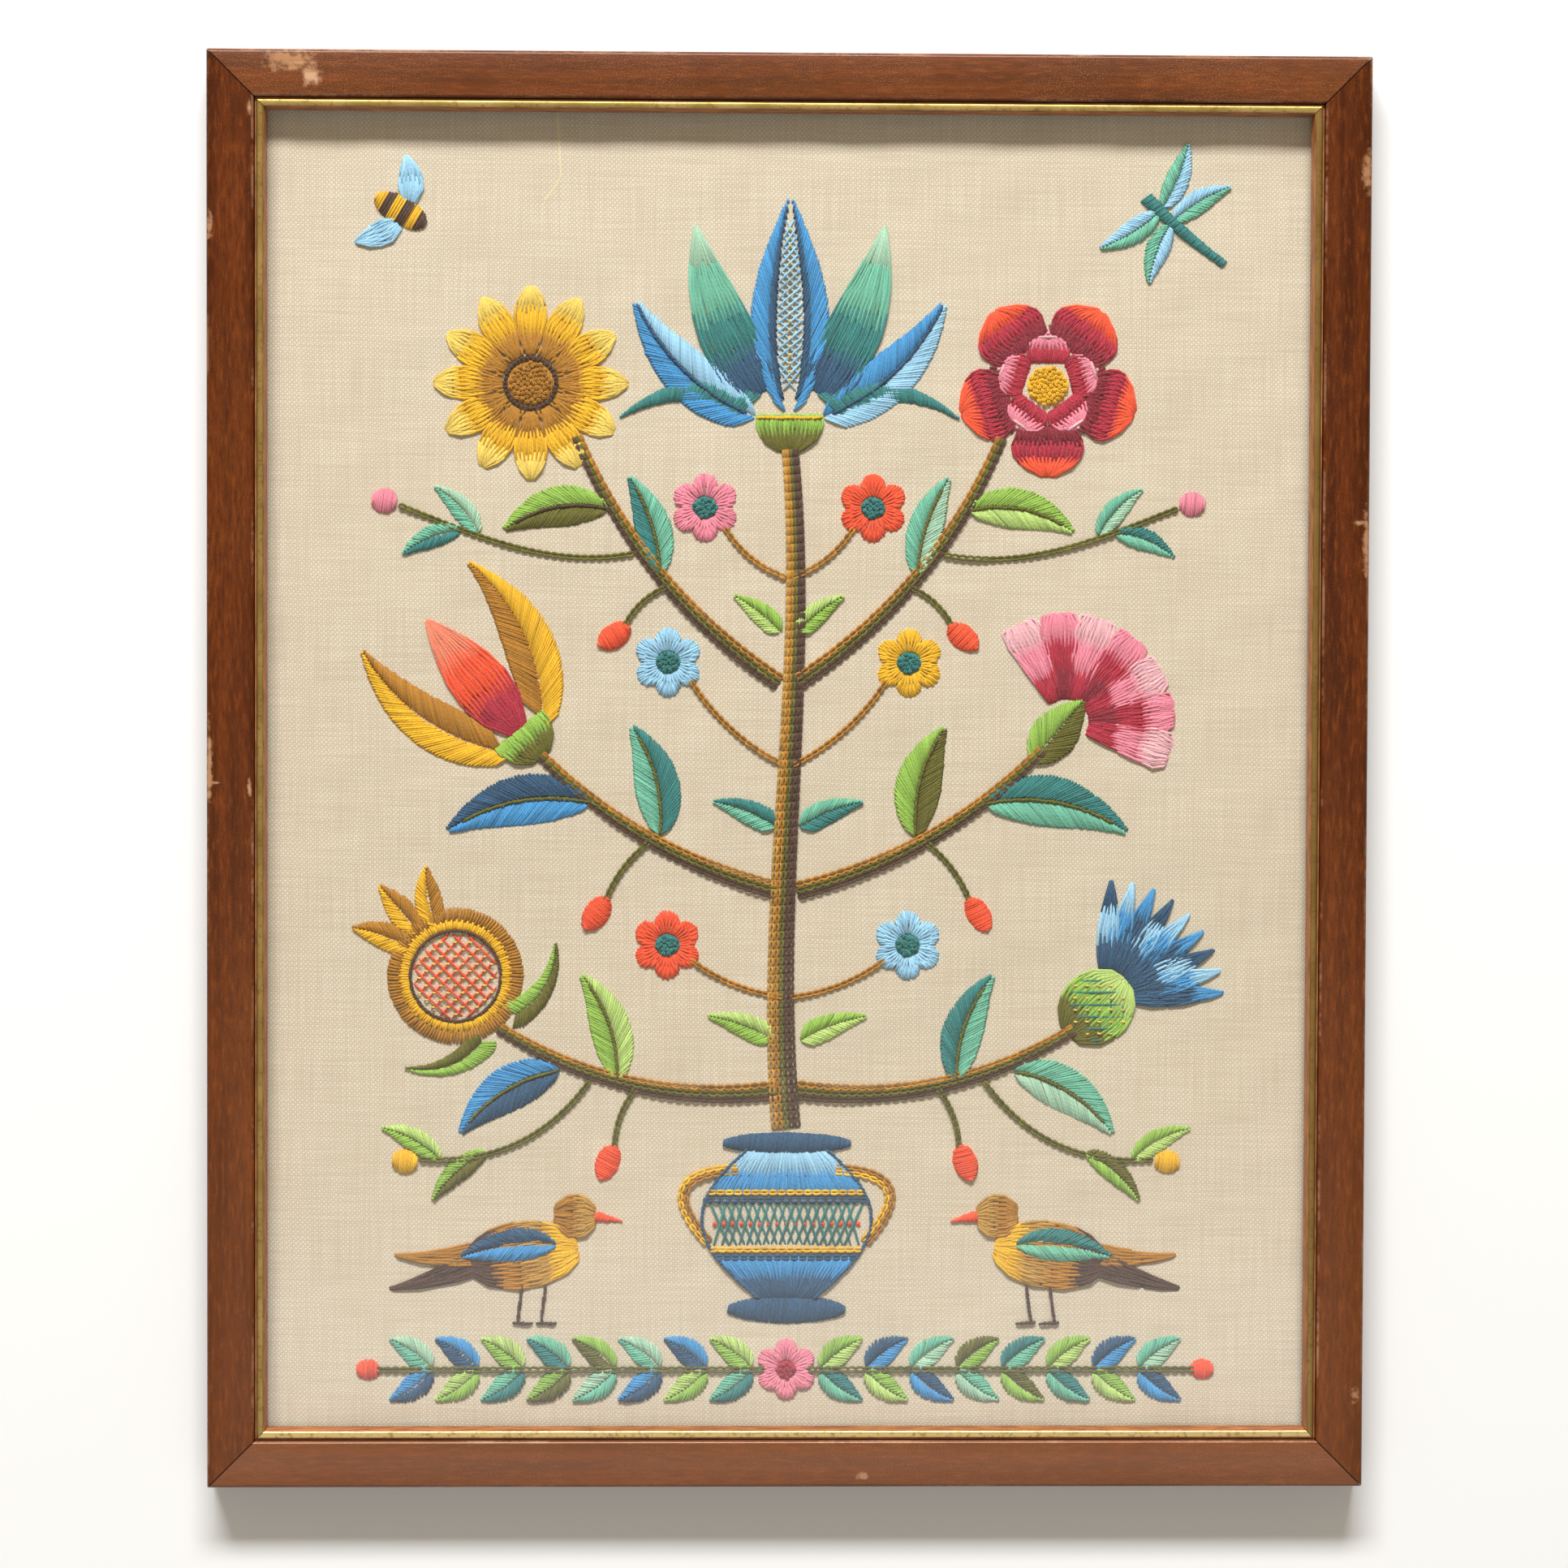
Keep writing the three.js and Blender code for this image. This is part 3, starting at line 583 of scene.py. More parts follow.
# Stitched shapes, as in the solids: complex numbers are points in the picture, in millimetres.
FORMS = {
    "stem": lambda t: np.ones_like(t),
    "leaf": lambda t: np.sin(math.pi * t**0.8) ** 0.9,
    "petal": lambda t: np.sin(math.pi * t**1.3) ** 0.7,
    "horn": lambda t: (1 - t) ** 0.8 * np.minimum(1, 0.45 + 4 * t),
    "fan": lambda t: (0.2 + 0.8 * t) * np.minimum(1, (1 - t) / 0.08 + 0.35),
    "oval": lambda t: np.sqrt(np.maximum(0, 1 - (2 * t - 1) ** 2)),
    "urn": lambda t: np.sin(math.pi * (0.1 + 0.75 * t)),
}


class Blade:
    """A shape from a root to a tip: a cubic spine bowed to its left (+), with a half-width along it."""

    def __init__(self, form, root, tip, half, bow=0.0, bow_end=None, tip_half=None):
        self.form, self.root, self.tip, self.half, self.bow = form, root, tip, half, bow
        self.bow_end = bow if bow_end is None else bow_end
        self.tip_half = half if tip_half is None else tip_half
        t = np.linspace(0, 1, 80)
        steps = np.abs(np.diff(self.at(t)))
        self.length = steps.sum()

    def moved(self, move, mirror):
        """The same shape with its ends moved, bowed the other way where it is mirrored."""
        bows = self.bow * mirror, self.bow_end * mirror
        return Blade(self.form, move(self.root), move(self.tip), self.half, *bows, self.tip_half)

    def placed(self, x, y, heading=0.0, mirror=1):
        turn = np.exp(1j * math.radians(heading))
        return self.moved(lambda p: complex(p.real, p.imag * mirror) * turn + complex(x, y), mirror)

    def flipped(self, mirror):
        """Its image in the picture's upright middle line."""
        return self.moved(lambda p: complex(p.real * mirror, p.imag), mirror)

    def controls(self):
        line = self.tip - self.root
        left = 1j * line / abs(line)
        return (
            self.root,
            self.root + line / 3 + left * self.bow,
            self.root + line * 2 / 3 + left * self.bow_end,
            self.tip,
        )

    def at(self, t):
        a, b, c, d = self.controls()
        return a * (1 - t) ** 3 + 3 * b * t * (1 - t) ** 2 + 3 * c * t**2 * (1 - t) + d * t**3

    def across(self, t):
        a, b, c, d = self.controls()
        slope = (b - a) * (1 - t) ** 2 + 2 * (c - b) * t * (1 - t) + (d - c) * t**2
        return 1j * slope / np.abs(slope)

    def wide(self, t):
        t = np.clip(t, 0, 1)
        return np.maximum(0.4, (self.half + (self.tip_half - self.half) * t) * FORMS[self.form](t))

    def lane(self, q, t):
        """Points at q, from -1 on the right edge to 1 on the left, along the shape."""
        t = np.clip(t, 0, 1)
        return self.at(t) + self.across(t) * self.wide(t) * q


def disc(x, y, radius):
    return Blade("oval", complex(x - radius, y), complex(x + radius, y), radius)


def dyed(dye, count):
    """One linear colour a stitch, each a little off the dye."""
    if isinstance(dye, str):
        dye = np.repeat(linear(DYES[dye])[None], count, 0)
    return np.clip(dye * (1 + 0.09 * rng.standard_normal((count, 1))), 0, 1)


# Where a stitch's five points lie along it, and the length of yarn in one unit of its UV.
ALONG = np.array([0.0, 0.1, 0.5, 0.9, 1.0])
UV_LENGTH = 2.0


class Work:
    """The stitches of one worked motif: paths of yarn over the linen, with heights and half-widths."""

    def __init__(self):
        self.strands = []

    def add(self, path, height, half, dye):
        count = len(path)
        if count:
            self.strands.append((path, np.broadcast_to(height, path.shape), half, dyed(dye, count)))

    def lay(self, path, dye, lift=0.75, half=0.56):
        """Stitches along five-point paths, up through the cloth, over and down."""
        count = len(path)
        stray = rng.standard_normal((count, 2)) * 0.12
        nudge = (stray[:, :1] + 1j * stray[:, 1:]) * np.array([1, 0.8, 0.4, 0.2, 0.1])
        other = rng.standard_normal((count, 2)) * 0.12
        nudge = nudge + (other[:, :1] + 1j * other[:, 1:]) * np.array([0.1, 0.2, 0.4, 0.8, 1])
        rise = np.array([-0.75, 0.55, 1.0, 0.55, -0.75]) * lift * (1 + 0.1 * rng.standard_normal((count, 1)))
        girth = np.array([0.7, 1.0, 1.04, 1.0, 0.7]) * half * (1 + 0.07 * rng.standard_normal((count, 1)))
        self.add(path + nudge, rise, girth, dye)

    def stitch(self, a, b, dye, **style):
        """Straight stitches from points a to points b."""
        a, b = np.asarray(a), np.asarray(b)
        self.lay(a[:, None] + (b - a)[:, None] * ALONG, dye, **style)

    def satin(self, blade, dye, low=-1.0, high=1.0, slant=0.0, pitch=0.76, start=0.02, stop=0.98, **style):
        """Side by side across a shape, from lane low to lane high; slant carries the high end forward."""
        stride = pitch * math.hypot(high - low, slant) / abs(high - low)
        count = max(2, int(blade.length * (stop - start) / stride))
        t = np.linspace(start, stop, count)
        lean = slant * blade.wide(t) / blade.length
        self.stitch(blade.lane(low, t - lean * 0.5), blade.lane(high, t + lean * 0.5), dye, **style)

    def fishbone(self, blade, left, right, slant=1.1, vein=None, start=0.06, stop=0.94, **style):
        """Two rows that meet on the spine and lean to the tip."""
        self.satin(blade, left, 0.02, 1.0, slant, start=start, stop=stop, **style)
        self.satin(blade, right, -0.02, -1.0, slant, start=start, stop=stop, **style)
        if vein:
            self.rope(blade.lane(0.0, np.linspace(0.02, 0.86, 40)), vein, half=0.5, lift=1.2)

    def shaded(self, blade, dyes, start=0.0, stop=1.0, low=-1.0, high=1.0, pitch=0.88, lift=0.75):
        """Long and short stitches along a shape, in bands of dye from its root to its tip."""
        t_all = np.linspace(start, stop, 30)
        widest = blade.wide(t_all).max() * (high - low)
        lanes = max(2, int(round(widest / pitch)))
        q = low + (np.arange(lanes) + 0.5) / lanes * (high - low)
        band = (stop - start) / len(dyes)
        for i, dye in enumerate(dyes):
            ragged = np.where(np.arange(lanes) % 2 == 0, 0.16, -0.16) + rng.uniform(-0.1, 0.1, lanes)
            t0 = start + band * (i + (ragged if i else 0)) - (0.1 * band if i else 0)
            ragged = np.where(np.arange(lanes) % 2 == 0, 0.16, -0.16) + rng.uniform(-0.1, 0.1, lanes)
            last = i == len(dyes) - 1
            t1 = start + band * (i + 1 + (0 if last else 1) * ragged) + (0 if last else 0.12 * band)
            t0 = np.broadcast_to(t0, (lanes,))
            t1 = np.broadcast_to(t1, (lanes,))
            middle = (t0 + t1) / 2
            room = blade.wide(middle) * (high - low) / lanes
            skip = np.maximum(1, np.round(0.62 * pitch / np.maximum(room, 0.05))).astype(int)
            kept = np.arange(lanes) % skip == 0
            t = t0[kept, None] + (t1 - t0)[kept, None] * ALONG
            self.lay(blade.lane(q[kept, None], t), dye, lift=lift)

    def rope(self, path, dye, step=1.7, half=0.52, lift=1.0):
        """Stem stitch along a line: each stitch starts beside the middle of the last."""
        points, normals = spaced(path, step)
        if len(points) < 3:
            points, normals = spaced(path, abs(np.diff(path)).sum() / 2.01)
        a = points[:-2] - normals[:-2] * 0.3
        b = points[2:] + normals[2:] * 0.3
        self.stitch(a, b, dye, half=half, lift=lift)

    def chain(self, path, dye, wide=1.0, link=3.3, half=0.54, lift=0.85):
        """A row of looped stitches along a line."""
        points, normals = spaced(path, link)
        a, b, n = points[:-1, None], points[1:, None], normals[:-1, None]
        s = np.array([0.0, 0.25, 0.6, 0.9, 1.12])
        swell = np.array([0.1, 0.75, 1.0, 0.7, 0.05])
        rise = np.array([0.2, 0.85, 1.0, 0.95, 0.1]) * lift
        girth = np.array([0.85, 1.0, 1.0, 1.0, 0.8]) * half
        share = np.linspace(0, 1, len(a))
        reach = np.interp(share, np.linspace(0, 1, np.size(wide)), np.ravel(wide))[:, None]
        tone = dyed(dye, len(a))
        for hand in (1, -1):
            loop = a + (b - a) * s + n * swell * (reach - half * 0.7) * hand
            self.add(loop, rise, np.broadcast_to(girth, loop.shape), tone)

    def knots(self, points, dye, size=0.55, half=0.46, lift=0.0):
        """Wound knots that stand up from the cloth."""
        points = np.asarray(points)
        if not len(points):
            return
        turn = np.linspace(0, 2 * math.pi * 1.55, 11) + rng.uniform(0, 6.3, (len(points), 1))
        girdle = size * np.array([1.2, 1.15, 1.12, 1.1, 1.05, 1, 0.9, 0.75, 0.55, 0.35, 0.15])
        rise = np.array([0.0, 0.2, 0.35, 0.45, 0.55, 0.65, 0.75, 0.85, 0.9, 0.95, 0.9])
        path = points[:, None] + girdle * np.exp(1j * turn)
        self.add(path, rise + lift, np.full(path.shape, half), dye)

    def seeds(self, centre, radius, dye, spread=1.0, **style):
        """Knots packed in a round."""
        count = int((radius / spread) ** 2 * 0.95)
        i = np.arange(count) + 0.5
        spots = centre + (radius - 0.8) * np.sqrt(i / count) * np.exp(1j * i * 2.39996)
        stray = 0.15 * (rng.standard_normal(count) + 1j * rng.standard_normal(count))
        self.knots(spots + stray, dye, **style)

    def rays(self, centre, inner, outer, dye, count):
        """Stitches that spread from a round to an outline; every second one starts further out."""
        turn = np.linspace(0, 2 * math.pi, count, endpoint=False)
        far = outer(turn)
        near = inner + np.where(np.arange(count) % 2, 0.4, 0.0) * (far - inner)
        self.stitch(centre + near * np.exp(1j * turn), centre + far * np.exp(1j * turn), dye)

    def lattice(self, centre, radius, dye, tie, spacing=4.0, angle=45.0, half=0.4):
        """A couched trellis in a round, tied down at its crossings."""
        offsets = np.arange(-radius + spacing * 0.6, radius, spacing)
        chord = np.sqrt(np.maximum(0, radius**2 - offsets**2))
        for k in (0, 1):
            turn = np.exp(1j * math.radians(angle + 90 * k))
            a = centre + turn * (-chord + 1j * offsets)
            b = centre + turn * (chord + 1j * offsets)
            self.stitch(a, b, dye, half=half, lift=0.62 + 0.4 * k)
        u, v = np.meshgrid(offsets, offsets)
        spots = (u + 1j * v).ravel()
        spots = spots[np.abs(spots) < radius - 1.2]
        turn = np.exp(1j * math.radians(angle))
        spots = centre + turn * spots
        self.stitch(spots - 0.9, spots + 0.9, tie, half=0.4, lift=1.5)

    def mesh(self, name, sides=6, flat=0.75):
        """All its yarn as one mesh, with the way along and round each stitch as UV."""
        corners, quads, dyes, uvs = [], [], [], []
        base = 0
        phi = 2 * math.pi * np.arange(sides) / sides - math.pi / 2
        for path, height, half, dye in self.strands:
            count, points = path.shape
            slope = np.gradient(path, axis=1)
            side = 1j * slope / np.maximum(np.abs(slope), 1e-6)
            ring = path[:, :, None] + side[:, :, None] * half[:, :, None] * np.cos(phi)
            z = height[:, :, None] + half[:, :, None] * flat * np.sin(phi)
            corners.append(np.stack([ring.real, ring.imag, z + LINEN_TOP], -1).reshape(-1, 3) * MM)
            dyes.append(np.repeat(np.c_[dye, np.ones(count)], points * sides, 0))
            s, k, n = np.meshgrid(np.arange(count), np.arange(points - 1), np.arange(sides), indexing="ij")
            m = (n + 1) % sides
            row, after = (s * points + k) * sides, (s * points + k + 1) * sides
            quads.append(base + np.stack([row + n, row + m, after + m, after + n], -1).reshape(-1, 4))
            begin = rng.uniform(0, 60, (count, 1))
            run = np.cumsum(np.abs(np.diff(path, axis=1)), 1) / UV_LENGTH
            run = begin + np.concatenate([np.zeros((count, 1)), run], 1)
            u0, u1 = run[s, k], run[s, k + 1]
            v0, v1 = n / sides, (n + 1) / sides
            uvs.append(np.stack([u0, v0, u0, v1, u1, v1, u1, v0], -1).reshape(-1, 2))
            base += count * points * sides
        corners, quads = np.concatenate(corners), np.concatenate(quads)
        mesh = bpy.data.meshes.new(name)
        mesh.vertices.add(len(corners))
        mesh.vertices.foreach_set("co", corners.ravel())
        mesh.loops.add(quads.size)
        mesh.loops.foreach_set("vertex_index", quads.ravel())
        mesh.polygons.add(len(quads))
        mesh.polygons.foreach_set("loop_start", np.arange(len(quads)) * 4)
        mesh.polygons.foreach_set("use_smooth", np.ones(len(quads), bool))
        mesh.update(calc_edges=True)
        colours = mesh.attributes.new("dye", "FLOAT_COLOR", "POINT")
        colours.data.foreach_set("color", np.concatenate(dyes).ravel())
        mesh.uv_layers.new(name="yarn").data.foreach_set("uv", np.concatenate(uvs).ravel())
        return mesh


def spaced(path, step):
    """Points at even steps along a line, and their left normals."""
    run = np.concatenate([[0], np.cumsum(np.abs(np.diff(path)))])
    count = max(2, int(round(run[-1] / step)) + 1)
    at = np.linspace(0, run[-1], count)
    points = np.interp(at, run, path.real) + 1j * np.interp(at, run, path.imag)
    slope = np.gradient(points)
    return points, 1j * slope / np.maximum(np.abs(slope), 1e-9)


def line(blade, q=0.0, start=0.0, stop=1.0):
    return blade.lane(q, np.linspace(start, stop, 60))


WORKS = {}


def work(name):
    WORKS[name] = Work()
    return WORKS[name]


def ring(count, start, make, at):
    return [make().placed(0, 0, start + 360 * i / count).placed(*at) for i in range(count)]


# The large flowers.
AT = {
    "palmette": (0, 128, 90),
    "rose": (98.5, 148, 0),
    "daisy": (-98.5, 148, 0),
    "tulip": (-97, 9, 130),
    "carnation": (97, 9, 50),
    "pomegranate": (-107.5, -101, 130),
    "thistle": (107.5, -100.5, 45),
}


def spot(name, x, y=0.0):
    """A point of a flower's own frame, in the picture."""
    px, py, heading = AT[name]
    return complex(x, y) * np.exp(1j * math.radians(heading)) + complex(px, py)


def palmette():
    at = AT["palmette"]
    heart = work("palmette_heart")
    b = Blade("leaf", 8 + 0j, 92 + 0j, 15).placed(*at)
    for hand in (1, -1):
        heart.satin(b, "sky", 0.5 * hand, 1.0 * hand, 1.0, start=0.05, stop=0.97)
        heart.satin(b, "navy", 0.34 * hand, 0.56 * hand, 0.6, start=0.1, stop=0.93)
    core = np.linspace(0.16, 0.84, 19)
    heart.stitch(b.lane(-0.34, core - 0.05), b.lane(0.34, core + 0.05), "ice", half=0.42, lift=0.6)
    heart.stitch(b.lane(0.34, core - 0.05), b.lane(-0.34, core + 0.05), "ice", half=0.42, lift=0.9)
    heart.knots(b.lane(0.0, core), "gold", size=0.4, half=0.45)
    fan = work("palmette_fan")
    for s in (1, -1):
        b = Blade("leaf", 6 + 4j * s, 80 + 36j * s, 11, 7 * s).placed(*at)
        fan.shaded(b, ["navy", "teal", "sea", "mint"], 0.14, 1.0)
    for s in (1, -1):
        b = Blade("leaf", 5 + 6j * s, 54 + 60j * s, 10, 11 * s).placed(*at)
        fan.fishbone(b, "sky", "ice", start=0.14)
        fan.rope(line(b, 0.0, 0.14, 0.95), "navy", lift=1.3)
    for s in (1, -1):
        b = Blade("horn", 4 + 4j * s, 6 + 66j * s, 8, -16 * s).placed(*at)
        fan.satin(b, "teal", -1, 1, 0.8 * s, start=0.2, stop=0.97)
    cup = Blade("oval", -6 + 0j, 18 + 0j, 13).placed(*at)
    fan.shaded(cup, ["olive", "leaf"], 0.0, 0.62)
    fan.rope(cup.lane(np.linspace(-1, 1, 30), 0.55 + 0 * np.linspace(0, 1, 30)), "gold", lift=1.3)


def rose():
    x, y, _ = AT["rose"]
    heart = work("rose_heart")
    heart.satin(disc(x, y, 7.6), "gold", lift=0.5)
    heart.seeds(complex(x, y), 8, "gold", lift=0.4)
    inner = work("rose_inner")
    for b in ring(5, 90, lambda: Blade("petal", 4 + 0j, 20 + 0j, 8.6), (x, y)):
        inner.shaded(b, ["crimson", "pink"], 0.27, 1.0)
        inner.satin(b, "blush", -1, 1, 0, start=0.9, stop=0.99, lift=1.1)
    outer = work("rose_outer")
    for b in ring(5, 54, lambda: Blade("petal", 8 + 0j, 35 + 0j, 14), (x, y)):
        outer.shaded(b, ["maroon", "crimson", "coral"], 0.26, 1.0)
    edge = np.linspace(0, 2 * math.pi, 72, endpoint=False)
    outer.stitch(
        complex(x, y) + 18.8 * np.exp(1j * edge), complex(x, y) + 23.2 * np.exp(1j * (edge + 0.06)), "maroon"
    )


def daisy():
    x, y, _ = AT["daisy"]
    heart = work("daisy_heart")
    heart.satin(disc(x, y, 9.0), "ochre", lift=0.5)
    heart.seeds(complex(x, y), 8.6, "ochre", lift=0.4)
    around = np.linspace(0, 2 * math.pi, 36, endpoint=False)
    heart.knots(complex(x, y) + 9.6 * np.exp(1j * around), "brown", lift=0.3)
    rays = work("daisy_rays")
    for b in ring(12, 0, lambda: Blade("petal", 9 + 0j, 37 + 0j, 6.4), (x, y)):
        rays.shaded(b, ["ochre", "gold", "straw"], 0.04, 1.0)
    rays.rays(complex(x, y), 10.4, lambda turn: 16.5 + 2.5 * np.cos(12 * turn), "ochre", 96)


def tulip():
    at = AT["tulip"]
    heart = work("tulip_heart")
    heart.shaded(Blade("leaf", 6 + 0j, 64 + 0j, 11).placed(*at), ["crimson", "coral", "salmon"], 0.02, 1.0)
    cup = work("tulip_cup")
    for s in (1, -1):
        b = Blade("leaf", 4j * s, 72 + 26j * s, 10, 13 * s).placed(*at)
        cup.satin(b, "gold", 0.02, s * 1.0, 1.1, start=0.1, stop=0.97)
        cup.satin(b, "ochre", -0.02, -s * 1.0, 1.1, start=0.16, stop=0.97)
    base = Blade("oval", -5 + 0j, 20 + 0j, 12).placed(*at)
    cup.shaded(base, ["olive", "leaf"], 0.0, 0.6, lift=1.1)


def carnation():
    x, y, heading = AT["carnation"]
    calyx = work("carnation_calyx")
    calyx.fishbone(Blade("leaf", -6 + 0j, 26 + 0j, 9).placed(x, y, heading), "leaf", "olive", start=0.03)
    frill = work("carnation_frill")
    for turn in (-66, -44, -22, 0, 22, 44, 66):
        b = Blade("fan", 4 + 0j, 42 + 0j, 9).placed(14, 0, turn).placed(x, y, heading)
        dyes = ["maroon", "crimson", "pink"] if turn % 44 == 0 else ["crimson", "pink", "blush"]
        frill.shaded(b, dyes, 0.12, 1.0, pitch=0.85)


def pomegranate():
    at = AT["pomegranate"]
    middle = spot("pomegranate", 30)
    heart = work("pomegranate_heart")
    heart.lattice(middle, 16.6, "coral", "straw", spacing=3.9)
    rind = work("pomegranate_rind")
    turn = np.linspace(0, 2 * math.pi, 126, endpoint=False)
    inner = 21.2 + 0.9 * (np.arange(126) % 2)
    rind.stitch(middle + 17.2 * np.exp(1j * turn), middle + inner * np.exp(1j * turn), "gold")
    rind.stitch(middle + (inner - 1) * np.exp(1j * (turn + 0.02)), middle + 26.2 * np.exp(1j * turn), "ochre")
    rind.rope(middle + 17.3 * np.exp(1j * np.linspace(0, 2 * math.pi, 90)), "brown", lift=1.25)
    for b, dyes in (
        (Blade("leaf", 50 + 0j, 76 + 0j, 5.5), ("gold", "ochre")),
        (Blade("leaf", 48 + 6j, 70 + 19j, 5.5, -2), ("gold", "ochre")),
        (Blade("leaf", 48 - 6j, 70 - 19j, 5.5, 2), ("gold", "ochre")),
    ):
        rind.fishbone(b.placed(*at), *dyes, start=0.12)
    for s in (1, -1):
        b = Blade("horn", 6 + 2j * s, 16 + 38j * s, 7, 9 * s).placed(*at)
        rind.satin(b, "olive", -1, 0.0, 0.6, start=0.12, stop=0.97)
        rind.satin(b, "leaf", 1, 0.0, 0.6, start=0.12, stop=0.97)


def thistle():
    x, y, heading = AT["thistle"]
    bulb = work("thistle_bulb")
    b = Blade("oval", 0j, 31 + 0j, 14).placed(x, y, heading)
    bulb.shaded(b, ["olive", "leaf", "lime"], 0.01, 0.99, lift=0.7)
    bulb.lattice(spot("thistle", 15.5), 13.0, "teal", "straw", spacing=4.6, angle=heading + 45)
    tuft = work("thistle_tuft")
    dyes = ["navy", "sky", "ice"]
    for i, turn in enumerate((-42, -31.5, -21, -10.5, 0, 10.5, 21, 31.5, 42)):
        b = Blade("leaf", 6 + 0j, 46 + 0j, 4.4).placed(20, 0, turn).placed(x, y, heading)
        tuft.shaded(b, ["navy", dyes[i % 3], dyes[(i + 1) % 3]], 0.12, 1.0)


for flower in (palmette, rose, daisy, tulip, carnation, pomegranate, thistle):
    flower()

# Small flowers, berries and leaves.
SMALL_FLOWERS = [
    {"name": "low_left", "x": -46, "y": -66, "dye": "coral", "heart": "teal"},
    {"name": "low_right", "x": 46, "y": -66, "dye": "ice", "heart": "teal"},
    {"name": "mid_left", "x": -46, "y": 42, "dye": "ice", "heart": "teal"},
    {"name": "mid_right", "x": 46, "y": 42, "dye": "gold", "heart": "teal"},
    {"name": "high_left", "x": -32, "y": 101, "dye": "pink", "heart": "teal"},
    {"name": "high_right", "x": 32, "y": 101, "dye": "coral", "heart": "teal"},
]
for row in SMALL_FLOWERS:
    w = work("small_flower_" + row["name"])
    middle = complex(row["x"], row["y"])
    w.rays(middle, 4.0, lambda turn: 9.2 + 4.2 * np.abs(np.sin(3 * turn)) ** 0.65, row["dye"], 78)
    w.satin(disc(row["x"], row["y"], 4.6), row["heart"], lift=0.6)
    w.seeds(middle, 4.6, row["heart"], lift=0.5)

BERRIES = [
    {"level": "low", "root": 66 - 143j, "tip": 71 - 156j},
    {"level": "mid", "root": 69 - 48j, "tip": 77 - 60j},
    {"level": "high", "root": 61 + 56j, "tip": 72 + 48j},
]
LEAVES = [
    {
        "name": "low_upper", "root": 65 - 119j, "tip": 80 - 76j,
        "half": 8, "bow": 6, "dyes": ("teal", "sea", "leaf", "lime"),
    },
    {
        "name": "low_under", "root": 86 - 114j, "tip": 126 - 140j,
        "half": 9, "bow": 7, "dyes": ("sea", "mint", "navy", "sky"),
    },
    {
        "name": "mid_upper", "root": 49 - 25j, "tip": 61 + 19j,
        "half": 9, "bow": 6, "dyes": ("leaf", "olive", "sea", "teal"),
    },
    {
        "name": "mid_under", "root": 74 - 12j, "tip": 132 - 24j,
        "half": 10, "bow": 9, "dyes": ("teal", "sea", "sky", "navy"),
    },
    {
        "name": "high_upper", "root": 49 + 75j, "tip": 62 + 114j,
        "half": 7, "bow": 4, "dyes": ("sea", "mint", "teal", "sea"),
    },
    {
        "name": "high_under", "root": 68 + 100j, "tip": 110 + 91j,
        "half": 8, "bow": 7, "dyes": ("leaf", "lime", "olive", "leaf"),
    },
]
for side, mirror in (("right", 1), ("left", -1)):
    for row in BERRIES:
        w = work(f"berry_{row['level']}_{side}")
        w.satin(Blade("oval", row["root"], row["tip"], 5).flipped(mirror), "coral", slant=0.25, lift=1.15)
    for row in LEAVES:
        b = Blade("leaf", row["root"], row["tip"], row["half"], row["bow"]).flipped(mirror)
        one, two = row["dyes"][:2] if mirror == 1 else row["dyes"][2:]
        work(f"leaf_{row['name']}_{side}").fishbone(b, one, two, vein="olive" if one != "olive" else "brown")


# The urn.
def urn():
    at = (0, -202, 90)
    w = work("urn")
    bowl = Blade("urn", 0j, 58 + 0j, 33).placed(*at)
    w.shaded(bowl, ["navy", "sky"], 0.0, 0.3)
    w.shaded(bowl, ["sky", "ice"], 0.68, 1.0)
    for t in (0.3, 0.68):
        for off, dye in ((-0.02, "navy"), (0.03, "gold")):
            q = np.linspace(-1, 1, 60)
            w.chain(bowl.lane(q, np.full(60, t + off)), dye, wide=1.1, lift=1.05)
    q = np.linspace(-0.94, 0.94, 19)
    back, on = q[:-2], q[2:]
    low, middle, high = (np.full(len(on), t) for t in (0.345, 0.5, 0.655))
    w.stitch(bowl.lane(back, low), bowl.lane(on, high), "teal", half=0.45, lift=0.65)
    w.stitch(bowl.lane(on, low), bowl.lane(back, high), "teal", half=0.45, lift=1.0)
    w.knots(bowl.lane(q[1:-1], middle), "coral", size=0.5, half=0.5)
    for s in (1, -1):
        w.rope(line(bowl, 0.985 * s), "navy", lift=1.2)
    foot = Blade("oval", -4 - 23j, -4 + 23j, 5.5).placed(*at)
    w.satin(foot, "navy", slant=0.3)
    rim = Blade("oval", 60 - 25j, 60 + 25j, 4.5).placed(*at)
    w.satin(rim, "navy", slant=0.3, lift=1.0)
    for s in (1, -1):
        handle = Blade("stem", 50 + 18j * s, 22 + 30j * s, 2.2, -22 * s).placed(*at)
        w.chain(line(handle, 0.5), "ochre", wide=1.1)
        w.chain(line(handle, -0.5), "gold", wide=1.1)


urn()


